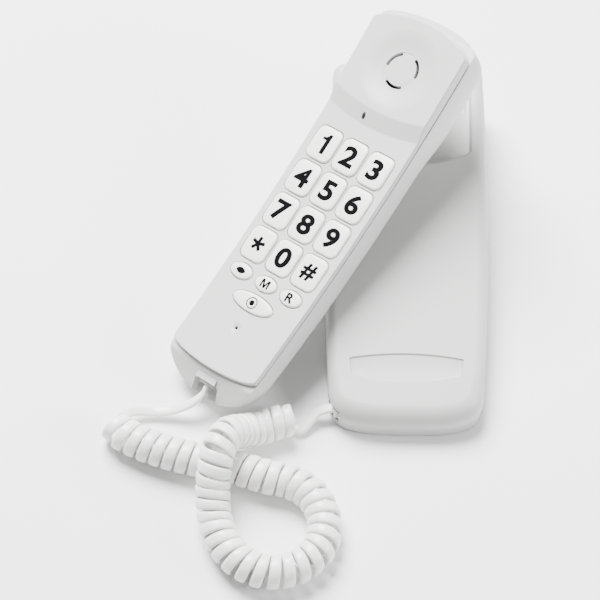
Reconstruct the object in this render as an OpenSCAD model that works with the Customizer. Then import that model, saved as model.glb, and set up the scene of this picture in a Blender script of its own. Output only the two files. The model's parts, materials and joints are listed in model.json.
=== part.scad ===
// Slimline wall phone: a shallow cradle on its back, a curved handset leaning across it, and the
// coiled cord between them.  The origin is the middle of the cradle's wall pad, +Z comes out of
// the cradle's front and +Y points to its earpiece end.

/* [Base] */
// Length of the base
base_l = 184; // [176:1:196]
// Greatest width of the base
base_w = 76; // [74:0.5:92]
// Height of the front at the lower end
base_h = 16; // [14:0.5:17]
// Rise of the front per millimetre of length
base_slope = 0.13; // [0.11:0.005:0.135]
// Wall of the base cover
base_wall = 2.2; // [1.8:0.1:2.8]
// Distance of the ear well's lower edge from the base's upper end
well_l = 56; // [50:1:62]
// Width of the ear well
well_w = 60; // [56:0.5:62]
// Depth of the ear well below the front
well_d = 9; // [7:0.5:11]
// Distance between the two keyholes
keyhole_gap = 80; // [60:1:90]
// Radius of a keyhole's entry circle
keyhole_r = 4.2; // [3.6:0.1:5]

/* [Handset] */
// Length of the handset's face, edge to edge
face_l = 185.6; // [182:0.4:200]
// Width of the handset at the ear end
ear_w = 56; // [55:0.5:60]
// Width of the handset at the mouth end
mouth_w = 52; // [51:0.5:56]
// Radius of the handset's long curve
bow_r = 820; // [600:10:1400]
// Height of the ear pad above the key panel
pad_h = 2.8; // [2:0.1:4]
// Thickness of the handset at its middle
body_t = 21; // [20.4:0.2:24]
// Wall of the handset's shells
shell_wall = 2; // [1.6:0.1:2.4]

/* [Keys] */
// Width of a digit key
key_w = 14; // [11:0.1:14.2]
// Length of a digit key
key_l = 16.8; // [14:0.1:17]
// Space between key columns
col_gap = 1.5; // [1.3:0.1:2]
// Space between key rows
row_gap = 1.8; // [1.6:0.1:2.2]
// Height of a key's top above the panel
key_proud = 0.8; // [0.5:0.1:1.5]
// Gap between a key and its hole
key_gap = 0.35; // [0.25:0.05:0.45]
// Travel of a key
key_travel = 1.0; // [0.6:0.1:1.2]

/* [Cord] */
// Diameter of the coiled cord's outside
coil_d = 16; // [12:0.5:18]
// Diameter of the straight cord
cord_d = 4.4; // [4:0.1:5]
// Length of a modular plug
plug_l = 11.5; // [10:0.5:13]
// Width of a modular plug
plug_w = 7.7; // [7.6:0.1:9.7]
// Height of a modular plug
plug_h = 6.4; // [6:0.1:6.6]
// Gap all round a plug in its socket
plug_gap = 0.15; // [0.1:0.05:0.3]

/* [Hidden] */
$fn = 48;
shell_colour = [0.88, 0.88, 0.87];
eps = 0.01;
fit = 0.3;

// The free cord: points lie on the table or on the turns below
coil_route = [[-134.1, -92.8, 8], [-128, -97.2, 8], [-119.9, -101.5, 8], [-109.8, -105.3, 8],
    [-99.8, -108.1, 8], [-89.7, -109.9, 8], [-80.7, -111.7, 8], [-71.6, -114.5, 8],
    [-62.6, -117.3, 8], [-53.5, -119.1, 8], [-45.4, -123, 8], [-39.3, -129.9, 8],
    [-36.1, -139.8, 8], [-37.8, -150.8, 8], [-44.7, -159, 8], [-53.6, -163.2, 8],
    [-63.6, -163.4, 8], [-73.7, -158.6, 8], [-80.9, -149.7, 8], [-85.1, -138.8, 9],
    [-86.3, -127.8, 14], [-85.5, -118.8, 21], [-83.7, -110.8, 24], [-79.9, -102.7, 21],
    [-74, -97.1, 13], [-66.1, -92.9, 8.5], [-58.1, -89.7, 8], [-51.2, -87.1, 8]];
lead_route = [[-91.1, -74.8, 13.1], [-93.8, -78.8, 11.3], [-99.3, -81.6, 8], [-106.3, -82.7, 5],
    [-114.3, -82.9, 3.5], [-122.3, -83.1, 3], [-130.3, -83.2, 3], [-136.3, -84.9, 3.5],
    [-139.2, -88.4, 6], [-137.6, -90.9, 8], [-134.1, -92.8, 8]];
tail_route = [[-51.2, -87.1, 8], [-46.7, -84.8, 8], [-42.3, -82.7, 8], [-37.3, -81.8, 8],
    [-33.3, -81.7, 8]];
cord_end = tail_route[4];
base_jack_x = cord_end[0] + plug_w + 1.3;
base_jack_y = cord_end[1];
base_jack_z = cord_end[2];

// Base, derived
base_y0 = -base_l / 2;
base_y1 = base_l / 2;
plate_z0 = 0.8;
plate_z1 = 3.4;
cover_z0 = 7.4;
base_bull = 9;
well_y = base_y1 - well_l;
well_ledge_y = base_y1 - 23;
well_ledge_d = 5;
well_sag = 7;
plate_inset = 0.4;
screw_r = 1.4;
head_r = 2.7;
head_h = 1.8;
boss_r = 3.4;
low_screw_x = base_w / 2 - 14;
high_screw_x = base_w / 2 - 8;
low_screw_y = base_jack_y + 15;
base_screw_at = [[-low_screw_x, low_screw_y], [low_screw_x, low_screw_y],
    [-high_screw_x, well_y - 8], [high_screw_x, well_y - 8]];
plunger_r = 4;
plunger_y = base_y1 - 40;
plunger_proud = 5;
plunger_travel = 4;
knob_y = plunger_y;
knob_z = 12;
knob_slot = 8;
low_foot_x = base_w / 2 - 13;
high_foot_x = base_w / 2 - 11;
feet_at = [[-low_foot_x, base_y0 + 16], [low_foot_x, base_y0 + 16],
    [-high_foot_x, base_y1 - 14], [high_foot_x, base_y1 - 14]];
foot_r = 4.5;
jack_skin = 1.2;
line_w = 13;
line_h = 11;
line_z = 12;
line_l = 16;
board0_z = 5.4;
board0_t = 1.6;
board0_x = -17;
board0_w = 40;
board0_y = base_jack_y + 23;
ballast_w = 50;
ballast_l = 26;
ballast_h = 5.5;
ballast_y = well_y - 24;
ringer_y = base_y0 + 62;
ringer_r = 11;
ringer_h = 4.5;
switch_x = -half_w(knob_y + 7) + base_wall;
floor_z = front_z(plunger_y) - well_d;
hook_top = floor_z - 9.4;

// Handset, derived: y = 0 is the middle of the face, +y the ear end
face_y = face_l / 2;
bow = 1 / (2 * bow_r);
chin = 13.2;
brow = 6;
ramp_y0 = face_y - 53.7;
ramp_y1 = face_y - 46.5;
part_z = 2.6;
face_inset = 1;
ear_hump = 5;
face_ear_end = [face_inset + 0.4, 4, 5, 5.7];
face_mouth_end = [face_inset + 0.4, 4, 5, 2.7];
shell_ear_end = [brow, 4, 5, 5.7];
shell_mouth_end = [chin, 14, 2.6, 4];
room_mouth_end = [chin - 9, 10, 2.6, 4];
ear_y = face_y - 23.9;
ear_z = bow * ear_y * ear_y + pad_h;
ear_tilt = atan(2 * bow * ear_y);
dish_r = 19;
dish_d = 1.5;
slot_r = 8.85;
slot_w = 1.5;
mic_y = face_y - 164.4;
mic_z = bow * mic_y * mic_y;
rest_y = 3.5;
handset_at = [-base_w / 2 - 1.3, rest_y, base_h + base_slope * (rest_y - base_y0) + body_t + 1.85];
handset_turn = -34;
handset_pitch = 20.1;
handset_roll = -13.9;
oval_pitch = 15.1;
oval_w = 12.1;
oval_l = 7.6;
redial_w = 23.4;
redial_l = 8.8;
col_pitch = key_w + col_gap;
row_pitch = key_l + row_gap;
first_row_y = ramp_y0 - key_l / 2 - 7.9;
oval_row_y = first_row_y - 3 * row_pitch - (key_l + oval_l) / 2 - 2.4;
redial_y = oval_row_y - (oval_l + redial_l) / 2 - 2.4;
key_corner = 3.5;
board_z = -9.6;
board_t = 1.6;
mat_t = 1;
mat_z = board_z + board_t;
key_foot_z = mat_z + mat_t + key_travel + fit;
board_w = 2 * col_pitch + key_w - 3;
board_y0 = redial_y - 3.8;
board_y1 = first_row_y + key_l / 2 + 4.8;
flange = 0.35;
jack_screw_x = mouth_w / 2 - 9;
ear_screw_x = ear_w / 2 - 8;
handset_screw_at = [[-jack_screw_x, 10.8 - face_y], [jack_screw_x, 10.8 - face_y],
    [-ear_screw_x, ramp_y0 + 2.4], [ear_screw_x, ramp_y0 + 2.4]];
handset_head_z = -13.4;
led_x = -5;
led_y = (ramp_y0 + ramp_y1) / 2;
led_z = bow * led_y * led_y + pad_h / 2;
jack_z = -3.6;
jack_l = 16;
jack_y0 = -face_y - 7;
jack_w = plug_w + 3.8;
jack_h = plug_h + 2.8;

// ---- curves shared by the shells ------------------------------------------------------------
function half_w(y) = base_w / 2 - 0.000366 * pow(y - 7, 2);
function hand_w(y) = (ear_w + mouth_w) / 4 + (ear_w - mouth_w) / 4 * y / face_y;
// A rounded end: half of a superellipse, a wide and b long, from the right side to the left
function round_end(a, b, n, steps) = [for (i = [0 : steps])
    let (t = 180 * i / steps, c = cos(t), s = sin(t))
    [sign(c) * a * pow(abs(c), 2 / n), b * pow(abs(s), 2 / n)]];
function base_outline(inset) = let (up = base_y1 - 12, lo = base_y0 + 20) concat(
    [for (p = round_end(half_w(up) - inset, 12 - inset, 4.5, 24)) [p[0], up + p[1]]],
    [for (i = [1 : 11]) let (y = up + (lo - up) * i / 12) [-half_w(y) + inset, y]],
    [for (p = round_end(half_w(lo) - inset, 20 - inset, 3.3, 24)) [-p[0], lo - p[1]]],
    [for (i = [1 : 11]) let (y = lo + (up - lo) * i / 12) [half_w(y) - inset, y]]);
// An end with rounded corners and a bow: out past the face, corner length, corner power and bow
function bowed_end(a, end, inset, steps) = [for (p = round_end(a - inset, end[1], end[2], steps))
    [p[0], p[1] + end[3] * (1 - pow(p[0] / a, 2)) - inset]];
function hand_outline(inset, ear_end, mouth_end) = let (
    up = face_y + ear_end[0] - ear_end[1] - ear_end[3],
    lo = -face_y - mouth_end[0] + mouth_end[1] + mouth_end[3])
    concat(
    [for (p = bowed_end(hand_w(up), ear_end, inset, 28)) [p[0], up + p[1]]],
    [for (i = [1 : 5]) let (y = up + (lo - up) * i / 6) [-hand_w(y) + inset, y]],
    [for (p = bowed_end(hand_w(lo), mouth_end, inset, 28)) [-p[0], lo - p[1]]],
    [for (i = [1 : 5]) let (y = lo + (up - lo) * i / 6) [hand_w(y) - inset, y]]);
function smooth(t) = let (u = max(0, min(1, t))) u * u * (3 - 2 * u);
function face_z(y) = bow * y * y;
function back_z(y) = face_z(y) - body_t + 1.5 * smooth((-y - 40) / 50) - ear_hump * smooth((y - 30) / 30);
function arc(cy, cz, r, a0, a1, steps) = [for (i = [0 : steps])
    let (a = a0 + (a1 - a0) * i / steps) [cy + r * cos(a), cz + r * sin(a)]];
function front_z(y) = base_h + base_slope * (y - base_y0);

// Extrudes a side profile, given as [y, z], across the width w
module across(w) translate([-w / 2, 0, 0]) rotate([90, 0, 90]) linear_extrude(w) children();
module place_handset() translate(handset_at) rotate([0, 0, handset_turn])
    rotate([handset_pitch, 0, 0]) rotate([0, handset_roll, 0]) children();
module ear_frame() translate([0, ear_y, ear_z]) rotate([ear_tilt, 0, 0]) children();
function rounded(w, l, r) = [for (q = [0 : 3], i = [0 : 6])
    let (a = 90 * q + 15 * i, sx = (q == 0 || q == 3) ? 1 : -1, sy = q < 2 ? 1 : -1)
    [sx * (w / 2 - r) + r * cos(a), sy * (l / 2 - r) + r * sin(a)]];
function oval(w, l, n) = concat(round_end(w / 2, l / 2, n, 16),
    [for (p = round_end(w / 2, l / 2, n, 16)) if (abs(p[1]) > eps) -p]);

// ---- base -----------------------------------------------------------------------------------
module base_wedge(inset, z0) across(base_w + 2) polygon(concat(
    [[base_y1 - inset, z0]],
    [[base_y1 - inset, front_z(base_y1) - 4 - inset], [base_y1 - 4 - inset, front_z(base_y1 - 4) - inset]],
    [[base_y0 + base_bull, front_z(base_y0 + base_bull) - inset]],
    arc(base_y0 + base_bull, base_h - base_bull, base_bull - inset, 96, 180, 10),
    [[base_y0 + inset, z0]]));
module well_plan(grow, top) polygon(concat(
    [[well_w / 2 + grow, top], [-well_w / 2 - grow, top]],
    [for (i = [-10 : 10]) let (u = i / 10)
        [u * (well_w / 2 + grow), well_y - grow + well_sag * pow(abs(u), 2.6)]]));
module well_space(grow, down, y0 = well_y - 30) intersection() {
    linear_extrude(80) well_plan(grow, base_y1 + 1);
    across(base_w + 2) polygon([[y0, front_z(y0) - down], [base_y1 + 1, front_z(base_y1 + 1) - down],
        [base_y1 + 1, 79], [y0, 79]]);
}
module cover_body() intersection() {
    translate([0, 0, cover_z0]) linear_extrude(80) polygon(base_outline(0));
    base_wedge(0, cover_z0);
}
module cover_room() intersection() {
    translate([0, 0, cover_z0 - 1]) linear_extrude(80) polygon(base_outline(base_wall));
    base_wedge(base_wall, cover_z0 - 1);
}
module base_cover() color(shell_colour) difference() {
    union() {
        difference() {
            cover_body();
            cover_room();
        }
        intersection() {
            cover_body();
            union() {
                well_space(base_wall, well_d + well_ledge_d + base_wall, well_ledge_y - base_wall);
                well_space(base_wall, well_d + base_wall);
            }
        }
        intersection() {
            base_wedge(0, plate_z1);
            for (p = base_screw_at) translate([p[0], p[1], plate_z1]) cylinder(r = boss_r, h = 60);
        }
    }
    well_space(0, well_d);
    well_space(-base_wall, well_d + well_ledge_d, well_ledge_y);
    for (p = base_screw_at) translate([p[0], p[1], plate_z1 - eps]) cylinder(r = screw_r, h = 9);
    translate([0, plunger_y, 0]) cylinder(r = plunger_r + fit, h = 60);
    cord_hole();
    translate([-base_w, knob_y - knob_slot / 2, knob_z - 1.6]) cube([base_w, knob_slot, 3.2]);
    line_hole();
}
module keyhole() {
    cylinder(r = keyhole_r, h = 20, center = true);
    translate([-2, 0, -10]) cube([4, 8.5, 20]);
    translate([0, 8.5, 0]) cylinder(r = 2, h = 20, center = true);
}
module line_hole() translate([-line_w / 2, base_y1 - 12, line_z - line_h / 2]) cube([line_w, 30, line_h]);
module cord_hole() translate([-base_w, base_jack_y - plug_w / 2 - 1, base_jack_z - plug_h / 2 - 1])
    cube([base_w - 20, plug_w + 2, plug_h + 2]);
module base_plate() color([0.8, 0.8, 0.79]) difference() {
    union() {
        translate([0, 0, plate_z0]) linear_extrude(plate_z1 - plate_z0) polygon(base_outline(plate_inset));
        linear_extrude(plate_z0 + 1) square([44, keyhole_gap + 34], center = true);
        translate([0, 0, plate_z0]) linear_extrude(cover_z0 - plate_z0) difference() {
            polygon(base_outline(plate_inset));
            polygon(base_outline(plate_inset + 1.8));
        }
    }
    cord_hole();
    for (s = [-1, 1]) translate([0, s * keyhole_gap / 2, 0]) keyhole();
    for (p = base_screw_at) translate([p[0], p[1], -1]) {
        cylinder(r = screw_r + 0.2, h = 20);
        cylinder(r = head_r + 0.3, h = 1 + plate_z0 + 1);
    }
    for (p = feet_at) translate([p[0], p[1], -1]) cylinder(r = foot_r + 0.1, h = 1 + plate_z0 + 0.8);
    line_hole();
}
module base_screws() color("silver") for (p = base_screw_at) translate([p[0], p[1], plate_z0 + 1]) {
    cylinder(r = screw_r, h = 9);
    translate([0, 0, -head_h + 0.8]) cylinder(r = head_r, h = head_h - 0.8);
}
module rubber_feet() color([0.25, 0.25, 0.26]) for (p = feet_at)
    translate([p[0], p[1], 0]) cylinder(r = foot_r, h = plate_z0 + 0.8);
module base_board() color([0.2, 0.45, 0.25]) translate([board0_x, board0_y, board0_z])
    cube([board0_w, ballast_y - 8 - board0_y, board0_t]);
module ballast_weight() color([0.45, 0.45, 0.46]) translate([-ballast_w / 2, ballast_y, plate_z1])
    cube([ballast_w, ballast_l, ballast_h]);
module base_cord_jack() color([0.16, 0.16, 0.17]) difference() {
    translate([base_jack_x, base_jack_y - plug_w / 2 - jack_skin, plate_z1])
            cube([plug_l + 2.5, plug_w + 2 * jack_skin, 2 * (base_jack_z - plate_z1)]);
    translate([base_jack_x - 1, base_jack_y - plug_w / 2 - plug_gap, base_jack_z - plug_h / 2 - plug_gap])
        cube([plug_l - 0.5, plug_w + 2 * plug_gap, plug_h + 2 * plug_gap]);
}
module line_jack() color([0.16, 0.16, 0.17]) difference() {
    translate([-line_w / 2 + fit, base_y1 - line_l - 0.5, line_z - line_h / 2 + fit])
        cube([line_w - 2 * fit, line_l, line_h - 2 * fit]);
    translate([-4.95, base_y1 - 13.5, line_z - 3.4]) cube([9.9, 20, 6.8]);
}
module ringer() color([0.75, 0.62, 0.3]) translate([0, ringer_y, board0_z + board0_t]) difference() {
    cylinder(r = ringer_r, h = ringer_h);
    translate([0, 0, ringer_h - 1.2]) cylinder(r = 3, h = 4);
}
module ringer_switch() color([0.2, 0.2, 0.22]) translate([switch_x + 0.2, knob_y - 7, knob_z - 3.5])
    cube([5, 14, 7]);
module ringer_switch_knob() color([0.2, 0.2, 0.22]) translate([switch_x - base_wall - 1, knob_y - 3.6, knob_z - 1.3])
    cube([base_wall + 0.9, 3.4, 2.6]);
module hook_plunger() color([0.86, 0.86, 0.85]) translate([0, plunger_y, 0]) {
    translate([0, 0, floor_z - 3.4]) cylinder(r = plunger_r, h = 3.4 + plunger_proud);
    translate([0, 0, floor_z - 4.6]) cylinder(r = plunger_r + 1.6, h = 1.2);
    translate([0, 0, floor_z - 9]) cylinder(r = 1.6, h = 5);
}
module hook_switch() color([0.18, 0.18, 0.2]) translate([0, plunger_y, plate_z1]) difference() {
    translate([-8, -7, 0]) cube([16, 14, hook_top - plate_z1]);
    translate([0, 0, 3]) cylinder(r = 2, h = 20);
}
module hook_spring() color("silver") translate([0, plunger_y, hook_top]) difference() {
    cylinder(r = 4.6, h = floor_z - 4.6 - hook_top);
    translate([0, 0, -1]) cylinder(r = 3.8, h = 20);
}

// ---- handset --------------------------------------------------------------------------------
function face_top(y) = face_z(y) + pad_h * smooth((y - ramp_y0) / (ramp_y1 - ramp_y0));
function face_line(y0, y1, down, steps) = [for (i = [0 : steps])
    let (y = y0 + (y1 - y0) * i / steps) [y, face_top(y) - down]];
function seam_line(y0, y1, down, steps) = [for (i = [0 : steps])
    let (y = y0 + (y1 - y0) * i / steps) [y, face_z(y) - down]];
function back_line(y0, y1, up, steps) = [for (i = [0 : steps])
    let (y = y0 + (y1 - y0) * i / steps) [y, back_z(y) + up]];
module key_holes(grow) {
    for (r = [0 : 3], c = [-1 : 1]) translate([c * col_pitch, first_row_y - r * row_pitch])
        polygon(rounded(key_w + 2 * grow, key_l + 2 * grow, key_corner));
    for (c = [-1 : 1]) translate([c * oval_pitch, oval_row_y]) polygon(oval(oval_w + 2 * grow, oval_l + 2 * grow, 2));
    translate([0, redial_y]) polygon(oval(redial_w + 2 * grow, redial_l + 2 * grow, 2));
}
module handset_front() color(shell_colour) place_handset() difference() {
    intersection() {
        translate([0, 0, -20]) linear_extrude(50) polygon(hand_outline(face_inset, face_ear_end, face_mouth_end));
        across(ear_w) polygon(concat(face_line(-face_y - 2, face_y + 2, 0, 40),
            seam_line(face_y + 2, -face_y - 2, part_z - 0.05, 24)));
    }
    intersection() {
        translate([0, 0, -20]) linear_extrude(50)
            polygon(hand_outline(shell_wall + face_inset, face_ear_end, face_mouth_end));
        across(ear_w) polygon(concat(face_line(-face_y, face_y, shell_wall, 40),
            seam_line(face_y, -face_y, part_z + 1, 24)));
        translate([-50, -face_y, -20]) cube([100, ear_y - 21 + face_y, 60]);
    }
    translate([0, 0, -30]) linear_extrude(60) key_holes(key_gap);
    ear_frame() {
        translate([0, 0, (dish_r * dish_r - dish_d * dish_d) / (2 * dish_d)])
            sphere(r = (dish_r * dish_r + dish_d * dish_d) / (2 * dish_d), $fn = 160);
        for (a = [30, 150, 270]) rotate([0, 0, a - 29]) rotate_extrude(angle = 58)
            translate([slot_r - slot_w, -20]) square([slot_w, 30]);
    }
    translate([0, mic_y, mic_z - 10]) cylinder(r = 0.8, h = 20);
    translate([led_x - 0.75, led_y - 1.45, led_z - 12]) cube([1.5, 2.9, 20]);
    for (p = handset_screw_at) translate([p[0], p[1], face_z(p[1]) - part_z - 1])
        cylinder(r = screw_r, h = 2);
}
module back_outer(inset) intersection() {
    translate([0, 0, -40]) linear_extrude(60) polygon(hand_outline(inset, shell_ear_end, shell_mouth_end));
    across(ear_w + 2) polygon(concat(
        seam_line(face_y + 2.4, -face_y - 2.4, part_z, 24),
        [[-face_y - chin + inset, -4.4]],
        arc(-face_y - chin + 8 + inset / 2, -5.5, 8 - inset / 2, 190, 250, 4),
        back_line(-face_y + 2, face_y - 6, inset, 40),
        arc(face_y + brow - 9 - inset / 2, -10.5, 9 - inset / 2, -60, 0, 4),
        [[face_y + brow - inset, 1.4]]));
}
module handset_back() color(shell_colour) place_handset() difference() {
    union() {
        difference() {
            back_outer(0);
            intersection() {
                translate([0, 0, -40]) linear_extrude(60)
                    polygon(hand_outline(shell_wall, shell_ear_end, room_mouth_end));
                across(ear_w + 2) polygon(concat(
                    seam_line(face_y + brow, -face_y - chin, part_z - 4, 24),
                    back_line(-face_y, face_y - 4, shell_wall, 40),
                    [[face_y + brow, back_z(face_y) + shell_wall + 5]]));
            }
        }
        intersection() {
            back_outer(0);
            for (p = handset_screw_at) translate([p[0], p[1], -30]) cylinder(r = boss_r, h = 60);
        }
        intersection() {
            back_outer(0);
            translate([-9, -face_y - chin, -20]) cube([18, 18, 30]);
        }
    }
    for (p = handset_screw_at) translate([p[0], p[1], 0]) {
        translate([0, 0, -30]) cylinder(r = screw_r + 0.2, h = 60);
        translate([0, 0, -30]) cylinder(r = head_r + 0.3, h = 30 + handset_head_z);
    }
    translate([-jack_w / 2 - fit, jack_y0, jack_z - jack_h / 2 - fit])
        cube([jack_w + 2 * fit, jack_l + 1, jack_h + 2 * fit]);
    translate([0, jack_y0 + 1, jack_z]) rotate([90, 0, 0]) linear_extrude(20)
        square([plug_w + 3, plug_h + 3], center = true);
}
module handset_jack() color([0.82, 0.82, 0.81]) place_handset() difference() {
    translate([-jack_w / 2, jack_y0 + 0.3, jack_z - jack_h / 2]) cube([jack_w, jack_l, jack_h]);
    translate([-plug_w / 2 - plug_gap, jack_y0 - 1, jack_z - plug_h / 2 - plug_gap])
        cube([plug_w + 2 * plug_gap, plug_l + 2, plug_h + 2 * plug_gap]);
}
module handset_screws() color("silver") place_handset() for (p = handset_screw_at)
    translate([p[0], p[1], handset_head_z]) {
        translate([0, 0, -head_h]) cylinder(r = head_r, h = head_h);
        cylinder(r = screw_r, h = face_z(p[1]) - part_z + 0.8 - handset_head_z);
    }
module ear_capsule() color([0.3, 0.3, 0.32]) place_handset() ear_frame() translate([0, 0, -17]) difference() {
    cylinder(r = 14, h = 8);
    translate([0, 0, 6.5]) cylinder(r = 11, h = 3);
}
module ear_seal() color([0.15, 0.15, 0.16]) place_handset() ear_frame() translate([0, 0, -9]) difference() {
    cylinder(r = 14.5, h = 2.6);
    translate([0, 0, -1]) cylinder(r = 11.5, h = 6);
}
module microphone() color("silver") place_handset() translate([0, mic_y, mic_z - 8.4]) cylinder(r = 3, h = 4);
module microphone_boot() color([0.15, 0.15, 0.16]) place_handset() translate([0, mic_y, mic_z - 9]) difference() {
    cylinder(r = 4.6, h = 6.2);
    translate([0, 0, 0.6]) cylinder(r = 3, h = 4);
    cylinder(r = 1, h = 20);
    translate([0, 0, -1]) cylinder(r = 2, h = 3);
}
module led_lens() color([0.55, 0.12, 0.1]) place_handset() translate([led_x - 0.65, led_y - 1.35, led_z - 4])
    cube([1.3, 2.7, 4]);
module led() color([0.8, 0.2, 0.2]) place_handset() translate([led_x, led_y, led_z - 9]) cylinder(r = 1.5, h = 4.6);
module key_board() color([0.2, 0.45, 0.25]) place_handset() translate([-board_w / 2, board_y0, board_z])
    cube([board_w, board_y1 - board_y0, board_t]);
module keypad_mat() color([0.3, 0.3, 0.3]) place_handset() translate([0.5 - board_w / 2, board_y0 + 0.5, mat_z])
    cube([board_w - 1, board_y1 - board_y0 - 2, mat_t]);
// One key: a cap through the panel and a flange below it that keeps the key in
module key_solid(x, y, under) color(shell_colour) place_handset() translate([x, y, 0]) {
    translate([0, 0, key_foot_z]) linear_extrude(face_z(y) + key_proud - key_foot_z) children(0);
    translate([0, 0, key_foot_z]) linear_extrude(under - fit - key_foot_z) children(1);
}
function inner_z(y, l) = face_z(max(0, abs(y) - l / 2)) - shell_wall;
module digit_key(c, r) let (y = first_row_y - r * row_pitch) key_solid(c * col_pitch, y, inner_z(y, key_l)) {
    polygon(rounded(key_w, key_l, key_corner - key_gap));
    polygon(rounded(key_w + 4 * flange, key_l + 4 * flange, key_corner));
}
module oval_key(x, y, w, l) key_solid(x, y, inner_z(y, l)) {
    polygon(oval(w, l, 2));
    polygon(oval(w + 4 * flange, l + 4 * flange, 2));
}

// ---- cord -----------------------------------------------------------------------------------
function unit(v) = v / norm(v);
// Points on a smooth curve through a route, with a few steps between its points
function curve(p, steps) = let (n = len(p)) concat([for (i = [0 : n - 2], k = [0 : steps - 1])
    let (a = p[max(0, i - 1)], b = p[i], c = p[i + 1], d = p[min(n - 1, i + 2)], t = k / steps)
    0.5 * (2 * b + (c - a) * t + (2 * a - 5 * b + 4 * c - d) * t * t + (3 * b - a - 3 * c + d) * t * t * t)],
    [p[n - 1]]);
module tube(route, d, sides, steps) {
    p = curve(route, steps);
    n = len(p);
    rings = [for (i = [0 : n - 1])
        let (t = unit(p[min(n - 1, i + 1)] - p[max(0, i - 1)]), s = unit(cross(t, [0, 0, 1])), u = cross(s, t))
        for (k = [0 : sides - 1]) p[i] + d / 2 * (cos(360 * k / sides) * s + sin(360 * k / sides) * u)];
    walls = [for (i = [0 : n - 2], k = [0 : sides - 1])
        [i * sides + k, i * sides + (k + 1) % sides, (i + 1) * sides + (k + 1) % sides, (i + 1) * sides + k]];
    ends = [[for (k = [0 : sides - 1]) sides - 1 - k], [for (k = [0 : sides - 1]) (n - 1) * sides + k]];
    polyhedron(concat([], rings), concat(walls, ends), convexity = 8);
}
module cord_lead() color(shell_colour) tube(lead_route, cord_d, 8, 2);
module cord_coil() color(shell_colour) tube(coil_route, coil_d, 12, 1);
module cord_tail() color(shell_colour) tube(tail_route, cord_d, 8, 2);
module base_plug() color([0.8, 0.8, 0.8]) translate([cord_end[0], base_jack_y - plug_w / 2, base_jack_z - plug_h / 2])
    cube([plug_l, plug_w, plug_h]);
module handset_plug() color([0.8, 0.8, 0.8]) place_handset()
    translate([-plug_w / 2, jack_y0 - 1, jack_z - plug_h / 2]) cube([plug_w, plug_l, plug_h]);

base_cover();
base_plate();
base_board();
base_cord_jack();
line_jack();
ringer();
ringer_switch();
ringer_switch_knob();
hook_plunger();
hook_switch();
hook_spring();
ballast_weight();
rubber_feet();
base_screws();
handset_front();
handset_back();
ear_capsule();
ear_seal();
microphone();
microphone_boot();
led();
led_lens();
keypad_mat();
key_board();
handset_jack();
handset_screws();
digit_key(-1, 0);  // key_1
digit_key(0, 0);  // key_2
digit_key(1, 0);  // key_3
digit_key(-1, 1);  // key_4
digit_key(0, 1);  // key_5
digit_key(1, 1);  // key_6
digit_key(-1, 2);  // key_7
digit_key(0, 2);  // key_8
digit_key(1, 2);  // key_9
digit_key(-1, 3);  // key_star
digit_key(0, 3);  // key_0
digit_key(1, 3);  // key_hash
oval_key(-oval_pitch, oval_row_y, oval_w, oval_l);  // key_store
oval_key(0, oval_row_y, oval_w, oval_l);  // key_memory
oval_key(oval_pitch, oval_row_y, oval_w, oval_l);  // key_recall
oval_key(0, redial_y, redial_w, redial_l);  // key_redial
handset_plug();
base_plug();
cord_lead();
cord_coil();
cord_tail();
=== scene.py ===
"""Slimline wall phone: moulded shells, keypad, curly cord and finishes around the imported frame."""

import json
import math

import bmesh
import bpy
import numpy as np
from bpy.props import FloatProperty, FloatVectorProperty, IntProperty, PointerProperty
from mathutils import Matrix, Vector


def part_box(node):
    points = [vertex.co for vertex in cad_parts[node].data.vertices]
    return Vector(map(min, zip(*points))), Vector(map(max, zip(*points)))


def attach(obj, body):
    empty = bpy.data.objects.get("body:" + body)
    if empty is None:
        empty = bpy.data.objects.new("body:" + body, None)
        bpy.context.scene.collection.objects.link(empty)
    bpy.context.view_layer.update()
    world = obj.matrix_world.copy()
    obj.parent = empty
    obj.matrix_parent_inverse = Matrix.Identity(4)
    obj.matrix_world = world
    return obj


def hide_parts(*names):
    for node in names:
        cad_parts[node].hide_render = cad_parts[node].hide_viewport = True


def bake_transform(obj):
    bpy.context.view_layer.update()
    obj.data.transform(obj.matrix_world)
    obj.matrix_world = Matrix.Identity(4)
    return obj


bl_info = {
    "name": "Slimline wall phone",
    "version": (1, 0, 0),
    "blender": (4, 5, 0),
    "location": "View3D > Sidebar > Phone",
    "description": "Builds a slimline wall phone's shells, keys, cord and stage around its frame",
    "category": "Object",
}

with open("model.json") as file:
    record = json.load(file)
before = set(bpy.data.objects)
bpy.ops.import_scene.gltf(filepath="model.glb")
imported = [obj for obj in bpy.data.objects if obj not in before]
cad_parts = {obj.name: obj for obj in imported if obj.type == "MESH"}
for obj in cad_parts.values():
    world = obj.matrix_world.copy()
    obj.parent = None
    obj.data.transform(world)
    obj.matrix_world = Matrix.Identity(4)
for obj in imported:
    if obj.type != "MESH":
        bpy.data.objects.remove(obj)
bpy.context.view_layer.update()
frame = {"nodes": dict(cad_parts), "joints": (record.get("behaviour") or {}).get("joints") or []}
MM = 0.001

DIGITS = {"key_1": "1", "key_2": "2", "key_3": "3", "key_4": "4", "key_5": "5", "key_6": "6",
          "key_7": "7", "key_8": "8", "key_9": "9", "key_star": "*", "key_0": "0", "key_hash": "#"}
OVALS = {"key_store": "store", "key_memory": "M", "key_recall": "R", "key_redial": "redial"}

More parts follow.
